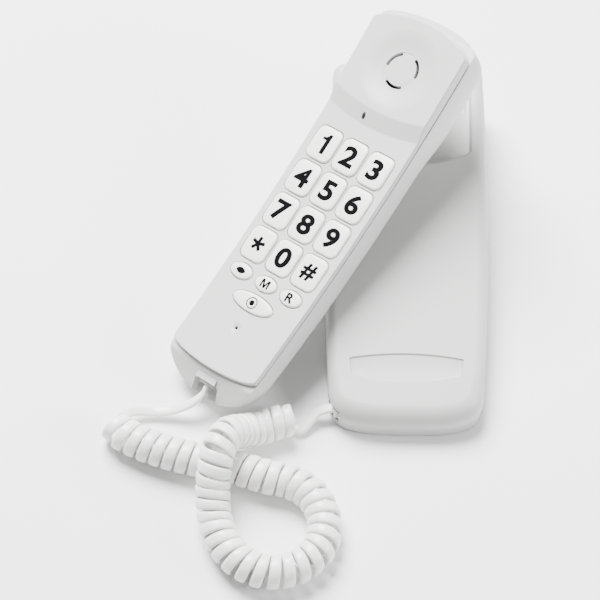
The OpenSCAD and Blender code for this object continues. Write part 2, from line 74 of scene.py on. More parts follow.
# The cord's route, in millimetres: the coil's middle line, and the lead and tail at its ends
COIL_ROUTE = [(-134.1, -92.8, 8), (-128, -97.2, 8), (-119.9, -101.5, 8), (-109.8, -105.3, 8),
              (-99.8, -108.1, 8), (-89.7, -109.9, 8), (-80.7, -111.7, 8), (-71.6, -114.5, 8),
              (-62.6, -117.3, 8), (-53.5, -119.1, 8), (-45.4, -123, 8), (-39.3, -129.9, 8),
              (-36.1, -139.8, 8), (-37.8, -150.8, 8), (-44.7, -159, 8), (-53.6, -163.2, 8),
              (-63.6, -163.4, 8), (-73.7, -158.6, 8), (-80.9, -149.7, 8), (-85.1, -138.8, 9),
              (-86.3, -127.8, 14), (-85.5, -118.8, 21), (-83.7, -110.8, 24), (-79.9, -102.7, 21),
              (-74, -97.1, 13), (-66.1, -92.9, 8.5), (-58.1, -89.7, 8), (-51.2, -87.1, 8)]
LEAD_ROUTE = [(-91.1, -74.8, 13.1), (-93.8, -78.8, 11.3), (-99.3, -81.6, 8), (-106.3, -82.7, 5),
              (-114.3, -82.9, 3.5), (-122.3, -83.1, 4.5)]
TAIL_ROUTE = [(-42.2, -84.4, 4.5), (-37.3, -82.3, 7), (-33.3, -81.7, 8)]


def mm(subject, default, text, low=0.1, high=400.0):
    """A length property whose default is given in millimetres."""
    return FloatProperty(name=subject, description=text, default=default * MM,
                         min=low * MM, max=high * MM, unit="LENGTH", precision=4)


class PHONE_PG_base(bpy.types.PropertyGroup):
    """Sizes of the base."""
    length: mm("Length", 184, "Length of the base")
    width: mm("Width", 76, "Greatest width of the base")
    height: mm("Lower height", 16, "Height of the front at the lower end")
    rise: FloatProperty(name="Rise", description="Rise of the front along the base", default=0.13)
    wall: mm("Wall", 2.2, "Wall of the cover")
    seam: mm("Seam", 7.4, "Height of the seam between cover and back plate")
    edge: mm("Edge", 5.2, "Radius of the cover's long edges")
    nose: mm("Nose", 8.0, "Radius of the cover's lower edge")
    well_length: mm("Well length", 56, "Distance of the well's lower edge from the upper end")
    well_width: mm("Well width", 60, "Width of the ear well")
    well_depth: mm("Well depth", 9, "Depth of the ear well")


class PHONE_PG_handset(bpy.types.PropertyGroup):
    """Sizes of the handset."""
    face_length: mm("Face length", 185.6, "Length of the face, edge to edge")
    ear_width: mm("Ear width", 56, "Width at the ear end")
    mouth_width: mm("Mouth width", 52, "Width at the mouth end")
    bow_radius: mm("Bow radius", 820, "Radius of the long curve", high=2000)
    pad_height: mm("Pad height", 2.8, "Height of the ear pad above the key panel")
    thickness: mm("Thickness", 21, "Thickness of the handset at its middle")
    wall: mm("Wall", 2.0, "Wall of the shells")
    seam: mm("Seam", 2.6, "Depth of the parting line below the panel")
    edge: mm("Back edge", 7.5, "Radius of the back shell's long edges")


class PHONE_PG_keys(bpy.types.PropertyGroup):
    """Sizes of the keypad."""
    width: mm("Key width", 14, "Width of a digit key")
    length: mm("Key length", 16.8, "Length of a digit key")
    column_pitch: mm("Column pitch", 15.5, "Distance between key columns")
    row_pitch: mm("Row pitch", 18.6, "Distance between key rows")
    proud: mm("Proud", 0.8, "Height of a key's shoulder above the panel")
    crown: mm("Crown", 0.55, "Rise of a key's top over its shoulder")
    gap: mm("Gap", 0.4, "Gap round a key")
    digit: mm("Digit", 10.2, "Height of a printed digit")


class PHONE_PG_cord(bpy.types.PropertyGroup):
    """Sizes of the curly cord."""
    coil: mm("Coil", 16, "Outer diameter of the coil")
    width: mm("Width", 5.2, "Width of the flat cord")
    thickness: mm("Thickness", 2.3, "Thickness of the flat cord")
    pitch: mm("Pitch", 5.85, "Distance between turns")
    tight_pitch: mm("Tight pitch", 5.0, "Distance between turns where the coil closes up")
    steps: IntProperty(name="Steps", description="Sections in each turn", default=30, min=12, max=60)


class PHONE_PG_colours(bpy.types.PropertyGroup):
    """Colours of the plastics."""
    shell: FloatVectorProperty(name="Shell", description="Shells of handset and base",
                               subtype="COLOR", default=(0.51, 0.51, 0.505), min=0, max=1)
    # The cord's colour is set darker than the shells: the vinyl's own tone with painted shade for the shade
    # between the coil's turns.
    cord: FloatVectorProperty(name="Cord", description="Vinyl of the cord",
                              subtype="COLOR", default=(0.42, 0.42, 0.415), min=0, max=1)
    ink: FloatVectorProperty(name="Ink", description="Printed legends",
                             subtype="COLOR", default=(0.004, 0.004, 0.0045), min=0, max=1)


# ---- mesh helpers ---------------------------------------------------------------------------
def new_piece(name, points, faces, material=None):
    """A mesh object made from points in metres."""
    mesh = bpy.data.meshes.new(name)
    mesh.from_pydata([tuple(p) for p in points], [], [tuple(f) for f in faces])
    mesh.validate()
    piece = bpy.data.objects.new(name, mesh)
    bpy.context.collection.objects.link(piece)
    if material is not None:
        mesh.materials.append(material)
    return piece


def zipped(first, count):
    """Faces across a ring made by Handset.outline, each point tied to its mirror image."""
    faces = []
    for i in range(32, 32 + count // 2):
        corners = (i, i + 1, (63 - i) % count, (64 - i) % count)
        faces.append(tuple(first + k for k in dict.fromkeys(corners)))
    return faces


def ring_solid(rings, spine=False):
    """Points and faces of a solid whose rings, each of as many points, follow one another."""
    count = len(rings[0])
    points = [p for ring in rings for p in ring]
    faces = []
    for k in range(len(rings) - 1):
        a, b = k * count, (k + 1) * count
        faces += [(a + i, a + (i + 1) % count, b + (i + 1) % count, b + i) for i in range(count)]
    last = (len(rings) - 1) * count
    if spine:
        faces += zipped(0, count) + zipped(last, count)
    else:
        faces += [tuple(reversed(range(count))), tuple(range(last, last + count))]
    return points, faces


def clean(piece, distance=1e-6):
    """Merges doubles and turns the faces outwards."""
    work = bmesh.new()
    work.from_mesh(piece.data)
    bmesh.ops.remove_doubles(work, verts=work.verts, dist=distance)
    bmesh.ops.dissolve_degenerate(work, edges=work.edges, dist=distance / 2)
    bmesh.ops.recalc_face_normals(work, faces=work.faces)
    work.to_mesh(piece.data)
    work.free()
    return piece


def solid(name, rings, spine=False):
    """A clean closed piece from its rings."""
    return clean(new_piece(name, *ring_solid(rings, spine)))


def joined(name, parts):
    """One mesh object from several, which are used up."""
    points, faces = [], []
    for part in parts:
        base = len(points)
        points += [v.co.copy() for v in part.data.vertices]
        faces += [tuple(base + i for i in f.vertices) for f in part.data.polygons]
        bpy.data.objects.remove(part)
    return new_piece(name, points, faces)


def bake_modifiers(piece):
    """Applies every modifier to the piece's mesh."""
    graph = bpy.context.evaluated_depsgraph_get()
    made = bpy.data.meshes.new_from_object(piece.evaluated_get(graph))
    piece.modifiers.clear()
    old = piece.data
    piece.data = made
    bpy.data.meshes.remove(old)
    made.name = piece.name
    return piece


def carve(piece, tool, operation="DIFFERENCE"):
    """Cuts the tool from the piece and uses the tool up."""
    cut = piece.modifiers.new("cut", "BOOLEAN")
    cut.operation = operation
    cut.solver = "EXACT"
    cut.object = tool
    bpy.context.view_layer.update()
    bake_modifiers(piece)
    bpy.data.objects.remove(tool)
    if len(piece.data.polygons) == 0:
        raise RuntimeError(f"{piece.name} came out empty when it was cut")
    return piece


def close_up(piece):
    """Merges what the cuts left doubled and fills slits of a few edges."""
    work = bmesh.new()
    work.from_mesh(piece.data)
    bmesh.ops.remove_doubles(work, verts=work.verts, dist=2e-6)
    bmesh.ops.dissolve_degenerate(work, edges=work.edges, dist=1e-6)
    loose = [e for e in work.edges if not e.link_faces]
    bmesh.ops.delete(work, geom=loose, context="EDGES")
    rim = [e for e in work.edges if len(e.link_faces) == 1]
    if rim:
        bmesh.ops.holes_fill(work, edges=rim, sides=12)
    work.to_mesh(piece.data)
    work.free()


def shade(piece, angle=32, normal_at=None, keep=18):
    """Smooth shading with edges sharp past an angle; normal_at gives a skin's own normal."""
    close_up(piece)
    mesh = piece.data
    for face in mesh.polygons:
        face.use_smooth = True
    mesh.set_sharp_from_angle(angle=math.radians(angle))
    if normal_at is None:
        return piece
    limit = math.cos(math.radians(keep))
    normals = [tuple(n.vector) for n in mesh.corner_normals]
    for face in mesh.polygons:
        for loop in face.loop_indices:
            point = mesh.vertices[mesh.loops[loop].vertex_index].co
            ideal = normal_at(point)
            if ideal is not None and ideal.dot(face.normal) > limit:
                normals[loop] = tuple(ideal)
    mesh.normals_split_custom_set(normals)
    return piece


def finish_piece(piece, body, material, replaces=()):
    """Gives a piece its material and body, and hides the frame's nodes that it stands for."""
    if material is not None:
        piece.data.materials.clear()
        piece.data.materials.append(material)
    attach(piece, body)
    if replaces:
        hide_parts(*replaces)
    return piece


# ---- plan curves ----------------------------------------------------------------------------
def smooth(t):
    """0 to 1 with level ends."""
    t = min(1.0, max(0.0, t))
    return t * t * (3 - 2 * t)


def super_end(half, length, power, steps, bow=0.0):
    """An end with rounded corners, from its right side to its left: (x, y) pairs."""
    out = []
    for i in range(steps + 1):
        x = half * math.cos(math.pi * i / steps)
        share = min(1.0, abs(x) / half)
        y = length * max(0.0, 1 - share ** power) ** (1 / power) + bow * (1 - share ** 2)
        out.append((x, y))
    return out


def rounded_plan(width, length, radius, steps=10):
    """A rectangle with rounded corners, anticlockwise."""
    out = []
    for q, (sx, sy) in enumerate(((1, 1), (-1, 1), (-1, -1), (1, -1))):
        for i in range(steps + 1):
            a = math.pi / 2 * (q + i / steps)
            out.append((sx * (width / 2 - radius) + radius * math.cos(a),
                        sy * (length / 2 - radius) + radius * math.sin(a)))
    return out


def oval_plan(width, length, steps=56):
    """An ellipse, anticlockwise."""
    return [(width / 2 * math.cos(2 * math.pi * i / steps), length / 2 * math.sin(2 * math.pi * i / steps))
            for i in range(steps)]


def grown(plan, by):
    """A plan pushed outwards by a distance."""
    pts = np.array(plan)
    ahead, behind = np.roll(pts, -1, 0), np.roll(pts, 1, 0)
    along = ahead - behind
    along /= np.linalg.norm(along, axis=1)[:, None]
    return pts + by * np.stack([along[:, 1], -along[:, 0]], 1)


def lerp(a, b, t):
    """Between two numbers or tuples."""
    if isinstance(a, tuple):
        return tuple(x + (y - x) * t for x, y in zip(a, b))
    return a + (b - a) * t


# ---- the handset's own frame ----------------------------------------------------------------
class Handset:
    """Curves of the handset in its own axes: x across, y to the ear, z out of the face."""

    ROW_OF_FIVE = 88.6 * MM          # distance of key 5's middle from the ear edge
    EAR_MIDDLE = 23.9 * MM
    MICROPHONE = 164.4 * MM
    OVAL_ROW = 140.4 * MM
    REDIAL_ROW = 151.0 * MM
    OVAL_PITCH = 15.1 * MM
    OVAL = (12.1 * MM, 7.6 * MM)
    REDIAL = (23.4 * MM, 8.8 * MM)
    KEY_CORNER = 3.5 * MM
    KEY_FOOT = -5.7 * MM
    RAMP_TOP = 46.0 * MM
    RAMP_FOOT = 53.6 * MM
    RAMP_BOW = 4.0 * MM
    DISH = 1.5 * MM
    HUMP = 5.0 * MM
    NOTCH_HALF = 6.85 * MM

    def __init__(self, settings, keys):
        self.s, self.k = settings, keys
        self.half = settings.face_length / 2
        press = next(j for j in frame["joints"] if j["name"] == "key_5_press")
        self.up = -Vector(press["axis"]).normalized()
        two, five, nought = (self.middle(n) for n in ("key_2", "key_5", "key_0"))
        along = two - nought
        self.along = (along - along.dot(self.up) * self.up).normalized()
        self.across = self.along.cross(self.up)
        foot = min(Vector(v.co).dot(self.up) for v in frame["nodes"]["key_5"].data.vertices)
        five += self.up * (foot - self.KEY_FOOT - five.dot(self.up))
        self.origin = five - self.along * (self.half - self.ROW_OF_FIVE)

    def middle(self, node):
        """Middle of a key's extents, square to its travel."""
        first = self.up.orthogonal().normalized()
        out = Vector()
        for way in (first, self.up.cross(first)):
            reach = [v.co.dot(way) for v in frame["nodes"][node].data.vertices]
            out += way * (min(reach) + max(reach)) / 2
        return out

    def matrix(self):
        """Handset axes to the row frame."""
        m = Matrix.Identity(4)
        for i, axis in enumerate((self.across, self.along, self.up)):
            m.col[i][:3] = axis
        m.translation = self.origin
        return m

    def width_at(self, y):
        """Half width of the handset."""
        mean = (self.s.ear_width + self.s.mouth_width) / 4
        spread = (self.s.ear_width - self.s.mouth_width) / 4
        return mean + spread * y / self.half

    def bow(self, y):
        return y * y / (2 * self.s.bow_radius)

    def ramp(self, x, y):
        """0 on the key panel and 1 on the ear pad, straight between with small radii."""
        y -= self.RAMP_BOW * (x / self.width_at(y)) ** 2
        top, foot = self.half - self.RAMP_TOP, self.half - self.RAMP_FOOT
        t, soft = (y - foot) / (top - foot), 0.05
        if t < -soft:
            return 0.0
        if t < soft:
            return (t + soft) ** 2 / (4 * soft)
        if t > 1 + soft:
            return 1.0
        if t > 1 - soft:
            return 1 - (1 + soft - t) ** 2 / (4 * soft)
        return t

    def face(self, x, y):
        """Height of the face: the bow, the ear pad and its soft dish."""
        away = math.hypot(x, y - self.half + self.EAR_MIDDLE)
        dish = self.DISH * (1 - smooth((away - 8.5 * MM) / (11.5 * MM)))
        return self.bow(y) + self.s.pad_height * self.ramp(x, y) - dish

    def back(self, y):
        """Height of the back."""
        lift = 1.5 * MM * smooth((-y - 40 * MM) / (50 * MM))
        return self.bow(y) - self.s.thickness + lift - self.HUMP * smooth((y - 30 * MM) / (30 * MM))

    def outline(self, inset, ear, mouth, rows):
        """Ring of (x, y) points; ear and mouth are (reach, corner length, corner power, bow)."""
        up = self.half + ear[0] - ear[1] - ear[3]
        lo = -self.half - mouth[0] + mouth[1] + mouth[3]
        top = [(x, up + y - inset) for x, y in super_end(self.width_at(up) - inset, ear[1], ear[2], 64,
                                                         ear[3])]
        low = [(-x, lo - y + inset) for x, y in super_end(self.width_at(lo) - inset, mouth[1], mouth[2], 64,
                                                          mouth[3])]
        left = [(-self.width_at(y) + inset, y) for y in (lerp(top[-1][1], low[0][1], t) for t in rows)]
        right = [(self.width_at(y) - inset, y) for y in (lerp(low[-1][1], top[0][1],
                                                              1 - t) for t in reversed(rows))]
        return top + left + low + right

    def normal_of_face(self, x, y):
        step = 0.05 * MM
        dx = (self.face(x + step, y) - self.face(x - step, y)) / (2 * step)
        dy = (self.face(x, y + step) - self.face(x, y - step)) / (2 * step)
        return Vector((-dx, -dy, 1)).normalized()


def inwards(ring, share, reach, bow_of=None):
    """A ring drawn in towards its spine; reach is the spine's distance from each end."""
    ys = [y for _, y in ring]
    lo, hi = min(ys) + reach, max(ys) - reach
    out = []
    for x, y in ring:
        spine = min(hi, max(lo, y))
        dip = bow_of(y) * (1 - share ** 2) if bow_of and lo < y < hi else 0.0
        out.append((x * share, spine + (y - spine) * share - dip))
    return out


def lid(ring, height, rows=12, reach=22 * MM):
    """Rings that close a ring of (x, y) over a curved surface, from the ring in to its spine."""
    flat = [(p[0], p[1]) for p in ring]
    out = []
    for i in range(1, rows + 1):
        out.append([(x, y, height(x, y)) for x, y in inwards(flat, 1 - i / rows * 0.98, reach)])
    return out


def conformal(plan, levels, height):
    """Cutter that follows a surface; levels are (grow, depth below the surface)."""
    rings = []
    for grow, depth in levels:
        rings.append([(x, y, height(x, y) - depth) for x, y in grown(plan, grow)])
    return solid("cutter", rings)


KEY_RIM = [(0.0, 5.0), (0.0, 0.26), (0.03, 0.13), (0.1, 0.05), (0.2, 0.008), (0.27, -0.09), (0.27, -1.5)]


def in_mm(levels):
    return [(g * MM, d * MM) for g, d in levels]


def key_plans(hand):
    """Name, plan, x and y of every key."""
    k, out = hand.k, []
    first = hand.half - hand.ROW_OF_FIVE + k.row_pitch
    for i, name in enumerate(DIGITS):
        x, y = (i % 3 - 1) * k.column_pitch, first - (i // 3) * k.row_pitch
        out.append((name, rounded_plan(k.width, k.length, hand.KEY_CORNER), x, y))
    for i, name in enumerate(list(OVALS)[:3]):
        out.append((name, oval_plan(*hand.OVAL), (i - 1) * hand.OVAL_PITCH, hand.half - hand.OVAL_ROW))
    out.append(("key_redial", oval_plan(*hand.REDIAL), 0.0, hand.half - hand.REDIAL_ROW))
    return out


def handset():
    scene = bpy.context.scene
    return Handset(scene.phone_handset, scene.phone_keys)


# ---- handset shells -------------------------------------------------------------------------
# Rows down the sides as shares of their length: close together over the ear pad and its ramp
SIDE_ROWS = [(84.5 - y) / 172 for y in [83.5 - i for i in range(30)] + [53.5 - 0.45 * i for i in range(36)]
             + [37 - 3.1 * i for i in range(40)]]
# Ends of an outline: reach past the face's length, corner length, corner power and bow, in mm
FACE_EAR, FACE_MOUTH = (1.4, 4.0, 5.0, 5.7), (1.4, 4.0, 5.0, 2.7)
SEAM_EAR, SEAM_MOUTH = (2.3, 4.2, 5.0, 5.7), (2.3, 4.6, 4.6, 2.7)
SHELL_EAR, SHELL_MOUTH = (5.8, 5.0, 4.0, 5.7), (13.0, 14.0, 2.6, 4.0)


def end_of(values):
    """An end's lengths in metres, its power as it is."""
    return (values[0] * MM, values[1] * MM, values[2], values[3] * MM)


def face_form(name, hand, inset, drop, foot, rim):
    """Closed form under the face's skin; rim is (outwards, below the skin) from its foot up."""
    ear, mouth = end_of(FACE_EAR), end_of(FACE_MOUTH)
    rings = [[(x, y, hand.bow(y) - foot) for x, y in hand.outline(inset - rim[0][0], ear, mouth, SIDE_ROWS)]]
    rings = lid(rings[0], lambda x, y: hand.bow(y) - foot)[::-1] + rings
    for out, below in rim:
        ring = hand.outline(inset - out, ear, mouth, SIDE_ROWS)
        rings.append([(x, y, hand.face(x, y) - drop - below) for x, y in ring])
    edge = hand.outline(inset, ear, mouth, SIDE_ROWS)
    for i in range(1, 29):
        ring = inwards(edge, 1 - i / 28 * 0.985, 22 * MM)
        rings.append([(x, y, hand.face(x, y) - drop) for x, y in ring])
    return solid(name, rings, True)


def ear_place(hand):
    """Middle, normal and along direction of the ear pad where the dish sits."""
    y = hand.half - hand.EAR_MIDDLE
    up = hand.normal_of_face(0.0, y)
    across = Vector((1, 0, 0))
    return Matrix.Translation((0, y, hand.face(0.0, y) + hand.DISH)) @ Matrix((across, up.cross(across),
                                                                               up)).transposed().to_4x4()


def dish_cutter(hand):
    """The dish's flat middle and the ring groove that the slots lie in."""
    place = ear_place(hand)
    profile = [(9.25, -3.0), (9.2, 1.0), (9.0, 1.58), (8.9, 1.66), (7.5, 1.68), (7.35, 1.58), (5.0, 1.58),
               (2.5, 1.58), (0.1, 1.58)]
    rings = []
    for radius, depth in profile:
        rings.append([place @ Vector((radius * MM * math.cos(a), radius * MM * math.sin(a), -depth * MM))
                      for a in (2 * math.pi * i / 144 for i in range(144))])
    return solid("dish", rings)


def slot_cutter(hand, middle):
    """One arc slot, open through the face, round at its ends."""
    place, plan, radius, half_w, reach = ear_place(hand), [], 8.2, 0.72, math.radians(29)
    for i in range(25):
        a = middle - reach + 2 * reach * i / 24
        plan.append(((radius + half_w) * math.cos(a), (radius + half_w) * math.sin(a)))
    for i in range(1, 8):
        a, turn = middle + reach, math.pi * i / 8
        plan.append((radius * math.cos(a) + half_w * math.cos(a + turn),
                     radius * math.sin(a) + half_w * math.sin(a + turn)))
    for i in range(25):
        a = middle + reach - 2 * reach * i / 24
        plan.append(((radius - half_w) * math.cos(a), (radius - half_w) * math.sin(a)))
    for i in range(1, 8):
        a, turn = middle - reach, math.pi + math.pi * i / 8
        plan.append((radius * math.cos(a) + half_w * math.cos(a + turn),
                     radius * math.sin(a) + half_w * math.sin(a + turn)))
    rings = [[place @ Vector((x * MM, y * MM, z * MM)) for x, y in plan] for z in (-9.0, 3.0)]
    return solid("slot", rings)


def build_face():
    """The face: bowed panel, ear pad, dish, slots, key openings, lamp window and microphone hole."""
    hand = handset()
    rim = in_mm([(0.5, 1.9), (0.2, 0.36), (0.07, 0.1)])
    face = face_form("handset_face", hand, 1.0 * MM, 0.0, 2.5 * MM, rim)
    wall = hand.s.wall
    inside = face_form("inside", hand, 1.0 * MM + wall, wall, 6.0 * MM, in_mm([(0.0, 0.6), (0.0, 0.3)]))
    carve(face, inside)
    carve(face, dish_cutter(hand))
    for middle in (30, 150, 270):
        carve(face, slot_cutter(hand, math.radians(middle)))
    openings = []
    for _, plan, x, y in key_plans(hand):
        plan = [(px + x, py + y) for px, py in grown(plan, hand.k.gap)]
        openings.append(conformal(plan, in_mm(KEY_RIM), hand.face))
    carve(face, joined("key_openings", openings))
    y = hand.half - hand.MICROPHONE
    hole = [(px, py + y) for px, py in oval_plan(1.6 * MM, 1.6 * MM, 32)]
    carve(face, conformal(hole, in_mm([(0, 5), (0, 0.5), (0.3, 0.3), (1.4, 0.16), (2.2, 0.02), (2.4, -1)]),
                          hand.face))
    run = [(px * MM, py * MM + y) for px, py in
           [(0.55, -1.6), (0.4, -5.2), (0.15, -5.8), (-0.15, -5.8), (-0.4, -5.2), (-0.55, -1.6)][::-1]]
    carve(face, conformal(run, in_mm([(-0.05, 0.16), (0.25, 0.02), (0.35, -1)]), hand.face))
    lamp = [(px - 5 * MM, py + 42.7 * MM) for px, py in oval_plan(1.75 * MM, 3.3 * MM, 36)]
    carve(face, conformal(lamp, in_mm([(0, 6), (0, 0.3), (0.2, 0.06), (0.35, -0.4), (0.35, -3)]), hand.face))

    def skin(point):
        on_skin = abs(point.z - hand.face(point.x, point.y)) < 0.02 * MM
        return hand.normal_of_face(point.x, point.y) if on_skin else None

    shade(face, 30, skin)
    face.data.transform(hand.matrix())
    return finish_piece(face, "handset", finish("handset_plastic"), ["handset_front"])


def shell_form(name, hand, inset):
    """The back shell's outer form, from the parting line over the chin and sides to the back."""
    rings = []

    def ends(t):
        ear = end_of(tuple(a + (b - a) * t for a, b in zip(SEAM_EAR, SHELL_EAR)))
        mouth = end_of(tuple(a + (b - a) * t for a, b in zip(SEAM_MOUTH, SHELL_MOUTH)))
        return ear, mouth

    def seam(y):
        return hand.bow(min(hand.half + 2.3 * MM, max(-hand.half - 2.3 * MM, y))) - hand.s.seam - 0.1 * MM

    def slope(y):
        past_mouth = max(0.0, -y - hand.half - 1.2 * MM)
        past_ear = max(0.0, y - hand.half - 0.6 * MM)
        return seam(y) - 0.66 * past_mouth - 0.9 * past_ear

    under = 1.2 * inset
    for i in range(9):
        ear, mouth = ends(i / 8 * 0.93)
        side = inset + 0.16 * MM * (1 - i / 8)
        rings.append([(x, y, slope(y) - under - 0.5 * MM * i / 8) for x,
                      y in hand.outline(side, ear, mouth, SIDE_ROWS)])
    for t, down in ((0.965, 0.25), (0.985, 0.6), (1.0, 1.2)):
        ear, mouth = ends(t)
        rings.append([(x, y, slope(y) - under - (0.5 + down) * MM)
                      for x, y in hand.outline(inset, ear, mouth, SIDE_ROWS)])
    if inset:
        rings = [[(x, y, seam(y) + 4 * MM) for x, y, _ in rings[0]]] + rings
    rise = 4 * MM if inset else 0.0
    rings = lid(rings[0], lambda x, y: seam(y) + rise)[::-1] + rings
    ear, mouth = ends(1.0)
    rim = hand.outline(inset, ear, mouth, SIDE_ROWS)
    top = [slope(y) - under - 1.7 * MM for _, y in rim]
    reach = hand.s.edge
    for i in range(1, 15):
        a = math.pi / 2 * i / 14
        share, fall = 1 - math.cos(a) ** 0.85, math.sin(a) ** 0.85
        ring = hand.outline(inset + reach * share, ear, mouth, SIDE_ROWS)
        rings.append([(x, y, lerp(z, hand.back(y) + inset, fall)) for (x, y), z in zip(ring, top)])
    last = hand.outline(inset + reach, ear, mouth, SIDE_ROWS)
    for i in range(1, 13):
        ring = inwards(last, 1 - i / 12 * 0.97, 20 * MM)
        rings.append([(x, y, hand.back(y) + inset) for x, y in ring])
    return solid(name, rings, True)


def box_rings(x0, x1, y0, y1, z0, z1, taper=0.0):
    """Rings of a box whose front end, at y0, is widened by taper."""
    return [[(x0 - t, y, z0 - t), (x1 + t, y, z0 - t), (x1 + t, y, z1 + t), (x0 - t, y, z1 + t)]
            for y, t in ((y0, taper), (y1, 0.0))]


def build_back():
    """The back shell: chin, rounded sides and back, cord recess and screw recesses."""
    hand = handset()
    back = shell_form("handset_shell", hand, 0.0)
    room = shell_form("room", hand, hand.s.wall)
    carve(back, room)
    half, floor = hand.NOTCH_HALF, -9.0 * MM
    y0 = -hand.half - 16 * MM
    block = solid("block", [[(x * (half + 2 * MM), y * MM - hand.half, z) for x, z in
                             ((-1, floor - 1.5 * MM), (1, floor - 1.5 * MM), (1, top * MM), (-1, top * MM))]
                            for y, top in ((-11.2, -5.0), (-1.2, 1.6), (9.0, 1.6))])
    carve(back, block, "UNION")
    notch = solid("notch", box_rings(-half, half, y0, -hand.half - 7 * MM, -8.4 * MM, 10 * MM, 1.1 * MM))
    carve(back, notch)
    throat = solid("throat", box_rings(-5.9 * MM, 5.9 * MM, -hand.half - 9 * MM, -hand.half + 10 * MM,
                                       -8.3 * MM, 1.1 * MM))
    carve(back, throat)
    for x, y in ((-17, -82), (17, -82), (-20, 41.5), (20, 41.5)):
        hole = [[(x * MM + r * MM * math.cos(a), y * MM + r * MM * math.sin(a), z * MM)
                 for a in (2 * math.pi * i / 40 for i in range(40))]
                for r, z in ((3.6, -40), (3.6, -18.6), (3.1, -18.0), (3.0, -13.6))]
        carve(back, solid("screw_hole", hole))
    shade(back, 34)
    back.data.transform(hand.matrix())
    return finish_piece(back, "handset", finish("handset_plastic"), ["handset_back"])


# ---- keys -----------------------------------------------------------------------------------
def key_top(hand, plan, x, y):
    """Height of a key's domed top at a point of its plan."""
    wide, tall = max(px for px, _ in plan), max(py for _, py in plan)
    level = hand.bow(y) + hand.k.proud

    def height(px, py):
        u, v = (px - x) / wide, (py - y) / tall
        return level + hand.k.crown * (1 - 0.45 * min(1.2, u * u) - 0.55 * min(1.2, v * v)) - 0.2 * MM
    return height


def key_piece(hand, name, plan, x, y):
    """One key: flange, straight stem, rounded shoulder and domed top."""
    top = key_top(hand, plan, x, y)
    at = [(px + x, py + y) for px, py in plan]
    lip = hand.bow(max(0.0, abs(y) - 8.4 * MM)) - hand.s.wall - 0.4 * MM
    rings = [[(px, py, hand.KEY_FOOT) for px, py in grown(at, 0.5 * MM)],
             [(px, py, lip) for px, py in grown(at, 0.5 * MM)],
             [(px, py, lip) for px, py in at]]
    for inset, below in ((0.0, 1.05), (0.05, 0.72), (0.19, 0.38), (0.42, 0.14), (0.75, 0.03), (1.05, 0.0)):
        rings.append([(px, py, top(px, py) - below * MM) for px, py in grown(at, -inset * MM)])
    for i in range(1, 8):
        ring = [(x + (px - x) * (1 - i / 7 * 0.97), y + (py - y) * (1 - i / 7 * 0.97))
                for px, py in grown(at, -1.05 * MM)]
        rings.append([(px, py, top(px, py)) for px, py in ring])
    piece = solid(name.replace("key_", "cap_"), rings)
    shade(piece, 40)
    piece.data.transform(hand.matrix())
    return finish_piece(piece, name, finish("key_plastic"), [name])


def flat_text(body, height, weight, stretch=1.0):
    """A figure as a flat mesh of a given height, centred."""
    curve = bpy.data.curves.new("figure", "FONT")
    curve.body = body
    curve.size = 1.0
    curve.offset = weight
    curve.resolution_u = 6
    maker = bpy.data.objects.new("figure", curve)
    bpy.context.collection.objects.link(maker)
    bpy.context.view_layer.update()
    graph = bpy.context.evaluated_depsgraph_get()
    mesh = bpy.data.meshes.new_from_object(maker.evaluated_get(graph))
    bpy.data.objects.remove(maker)
    bpy.data.curves.remove(curve)
    co = np.array([v.co for v in mesh.vertices])
    lo, hi = co.min(0), co.max(0)
    scale = height / (hi[1] - lo[1])
    middle = (lo + hi) / 2
    size = Matrix.Diagonal((scale * stretch, scale, scale, 1))
    mesh.transform(size @ Matrix.Translation((-middle[0], -middle[1], 0)))
    piece = bpy.data.objects.new("figure", mesh)
    bpy.context.collection.objects.link(piece)
    return piece


def flat_outline(loops):
    """A flat mesh from outlines in metres; a loop inside another is a hole."""
    curve = bpy.data.curves.new("outline", "CURVE")
    curve.dimensions = "2D"
    curve.fill_mode = "BOTH"
    for loop in loops:
        line = curve.splines.new("POLY")
        line.points.add(len(loop) - 1)
        for point, (x, y) in zip(line.points, loop):
            point.co = (x / MM, y / MM, 0, 1)
        line.use_cyclic_u = True
    maker = bpy.data.objects.new("outline", curve)
    bpy.context.collection.objects.link(maker)
    bpy.context.view_layer.update()
    graph = bpy.context.evaluated_depsgraph_get()
    mesh = bpy.data.meshes.new_from_object(maker.evaluated_get(graph))
    mesh.transform(Matrix.Scale(MM, 4))
    bpy.data.objects.remove(maker)
    bpy.data.curves.remove(curve)
    piece = bpy.data.objects.new("outline", mesh)
    bpy.context.collection.objects.link(piece)
    return piece


def print_on(piece, name, x, y, height, step=0.8 * MM, film=0.03 * MM):
    """Lays a flat mesh on a key's top as a thin closed film of ink."""
    work = bmesh.new()
    work.from_mesh(piece.data)
    bmesh.ops.remove_doubles(work, verts=work.verts, dist=1e-7)
    for axis in (0, 1):
        reach = [v.co[axis] for v in work.verts]
        at = min(reach) + step
        while at < max(reach):
            plane = Vector((0, 0, 0))
            plane[axis] = at
            normal = Vector((0, 0, 0))
            normal[axis] = 1
            bmesh.ops.bisect_plane(work, geom=work.verts[:] + work.edges[:] + work.faces[:],
                                   plane_co=plane, plane_no=normal)
            at += step
    for v in work.verts:
        v.co = Vector((v.co.x + x, v.co.y + y, height(v.co.x + x, v.co.y + y) - film))
    skin = bmesh.ops.extrude_face_region(work, geom=work.faces[:])
    for v in skin["geom"]:
        if isinstance(v, bmesh.types.BMVert):
            v.co.z += 2 * film
    bmesh.ops.recalc_face_normals(work, faces=work.faces)
    mesh = bpy.data.meshes.new(name)
    work.to_mesh(mesh)
    work.free()
    old = piece.data
    piece.data = mesh
    piece.name = name
    bpy.data.meshes.remove(old)
    return piece


def ring_loop(radius, steps=40):
    return [(radius * math.cos(2 * math.pi * i / steps), radius * math.sin(2 * math.pi * i / steps))
            for i in range(steps)]


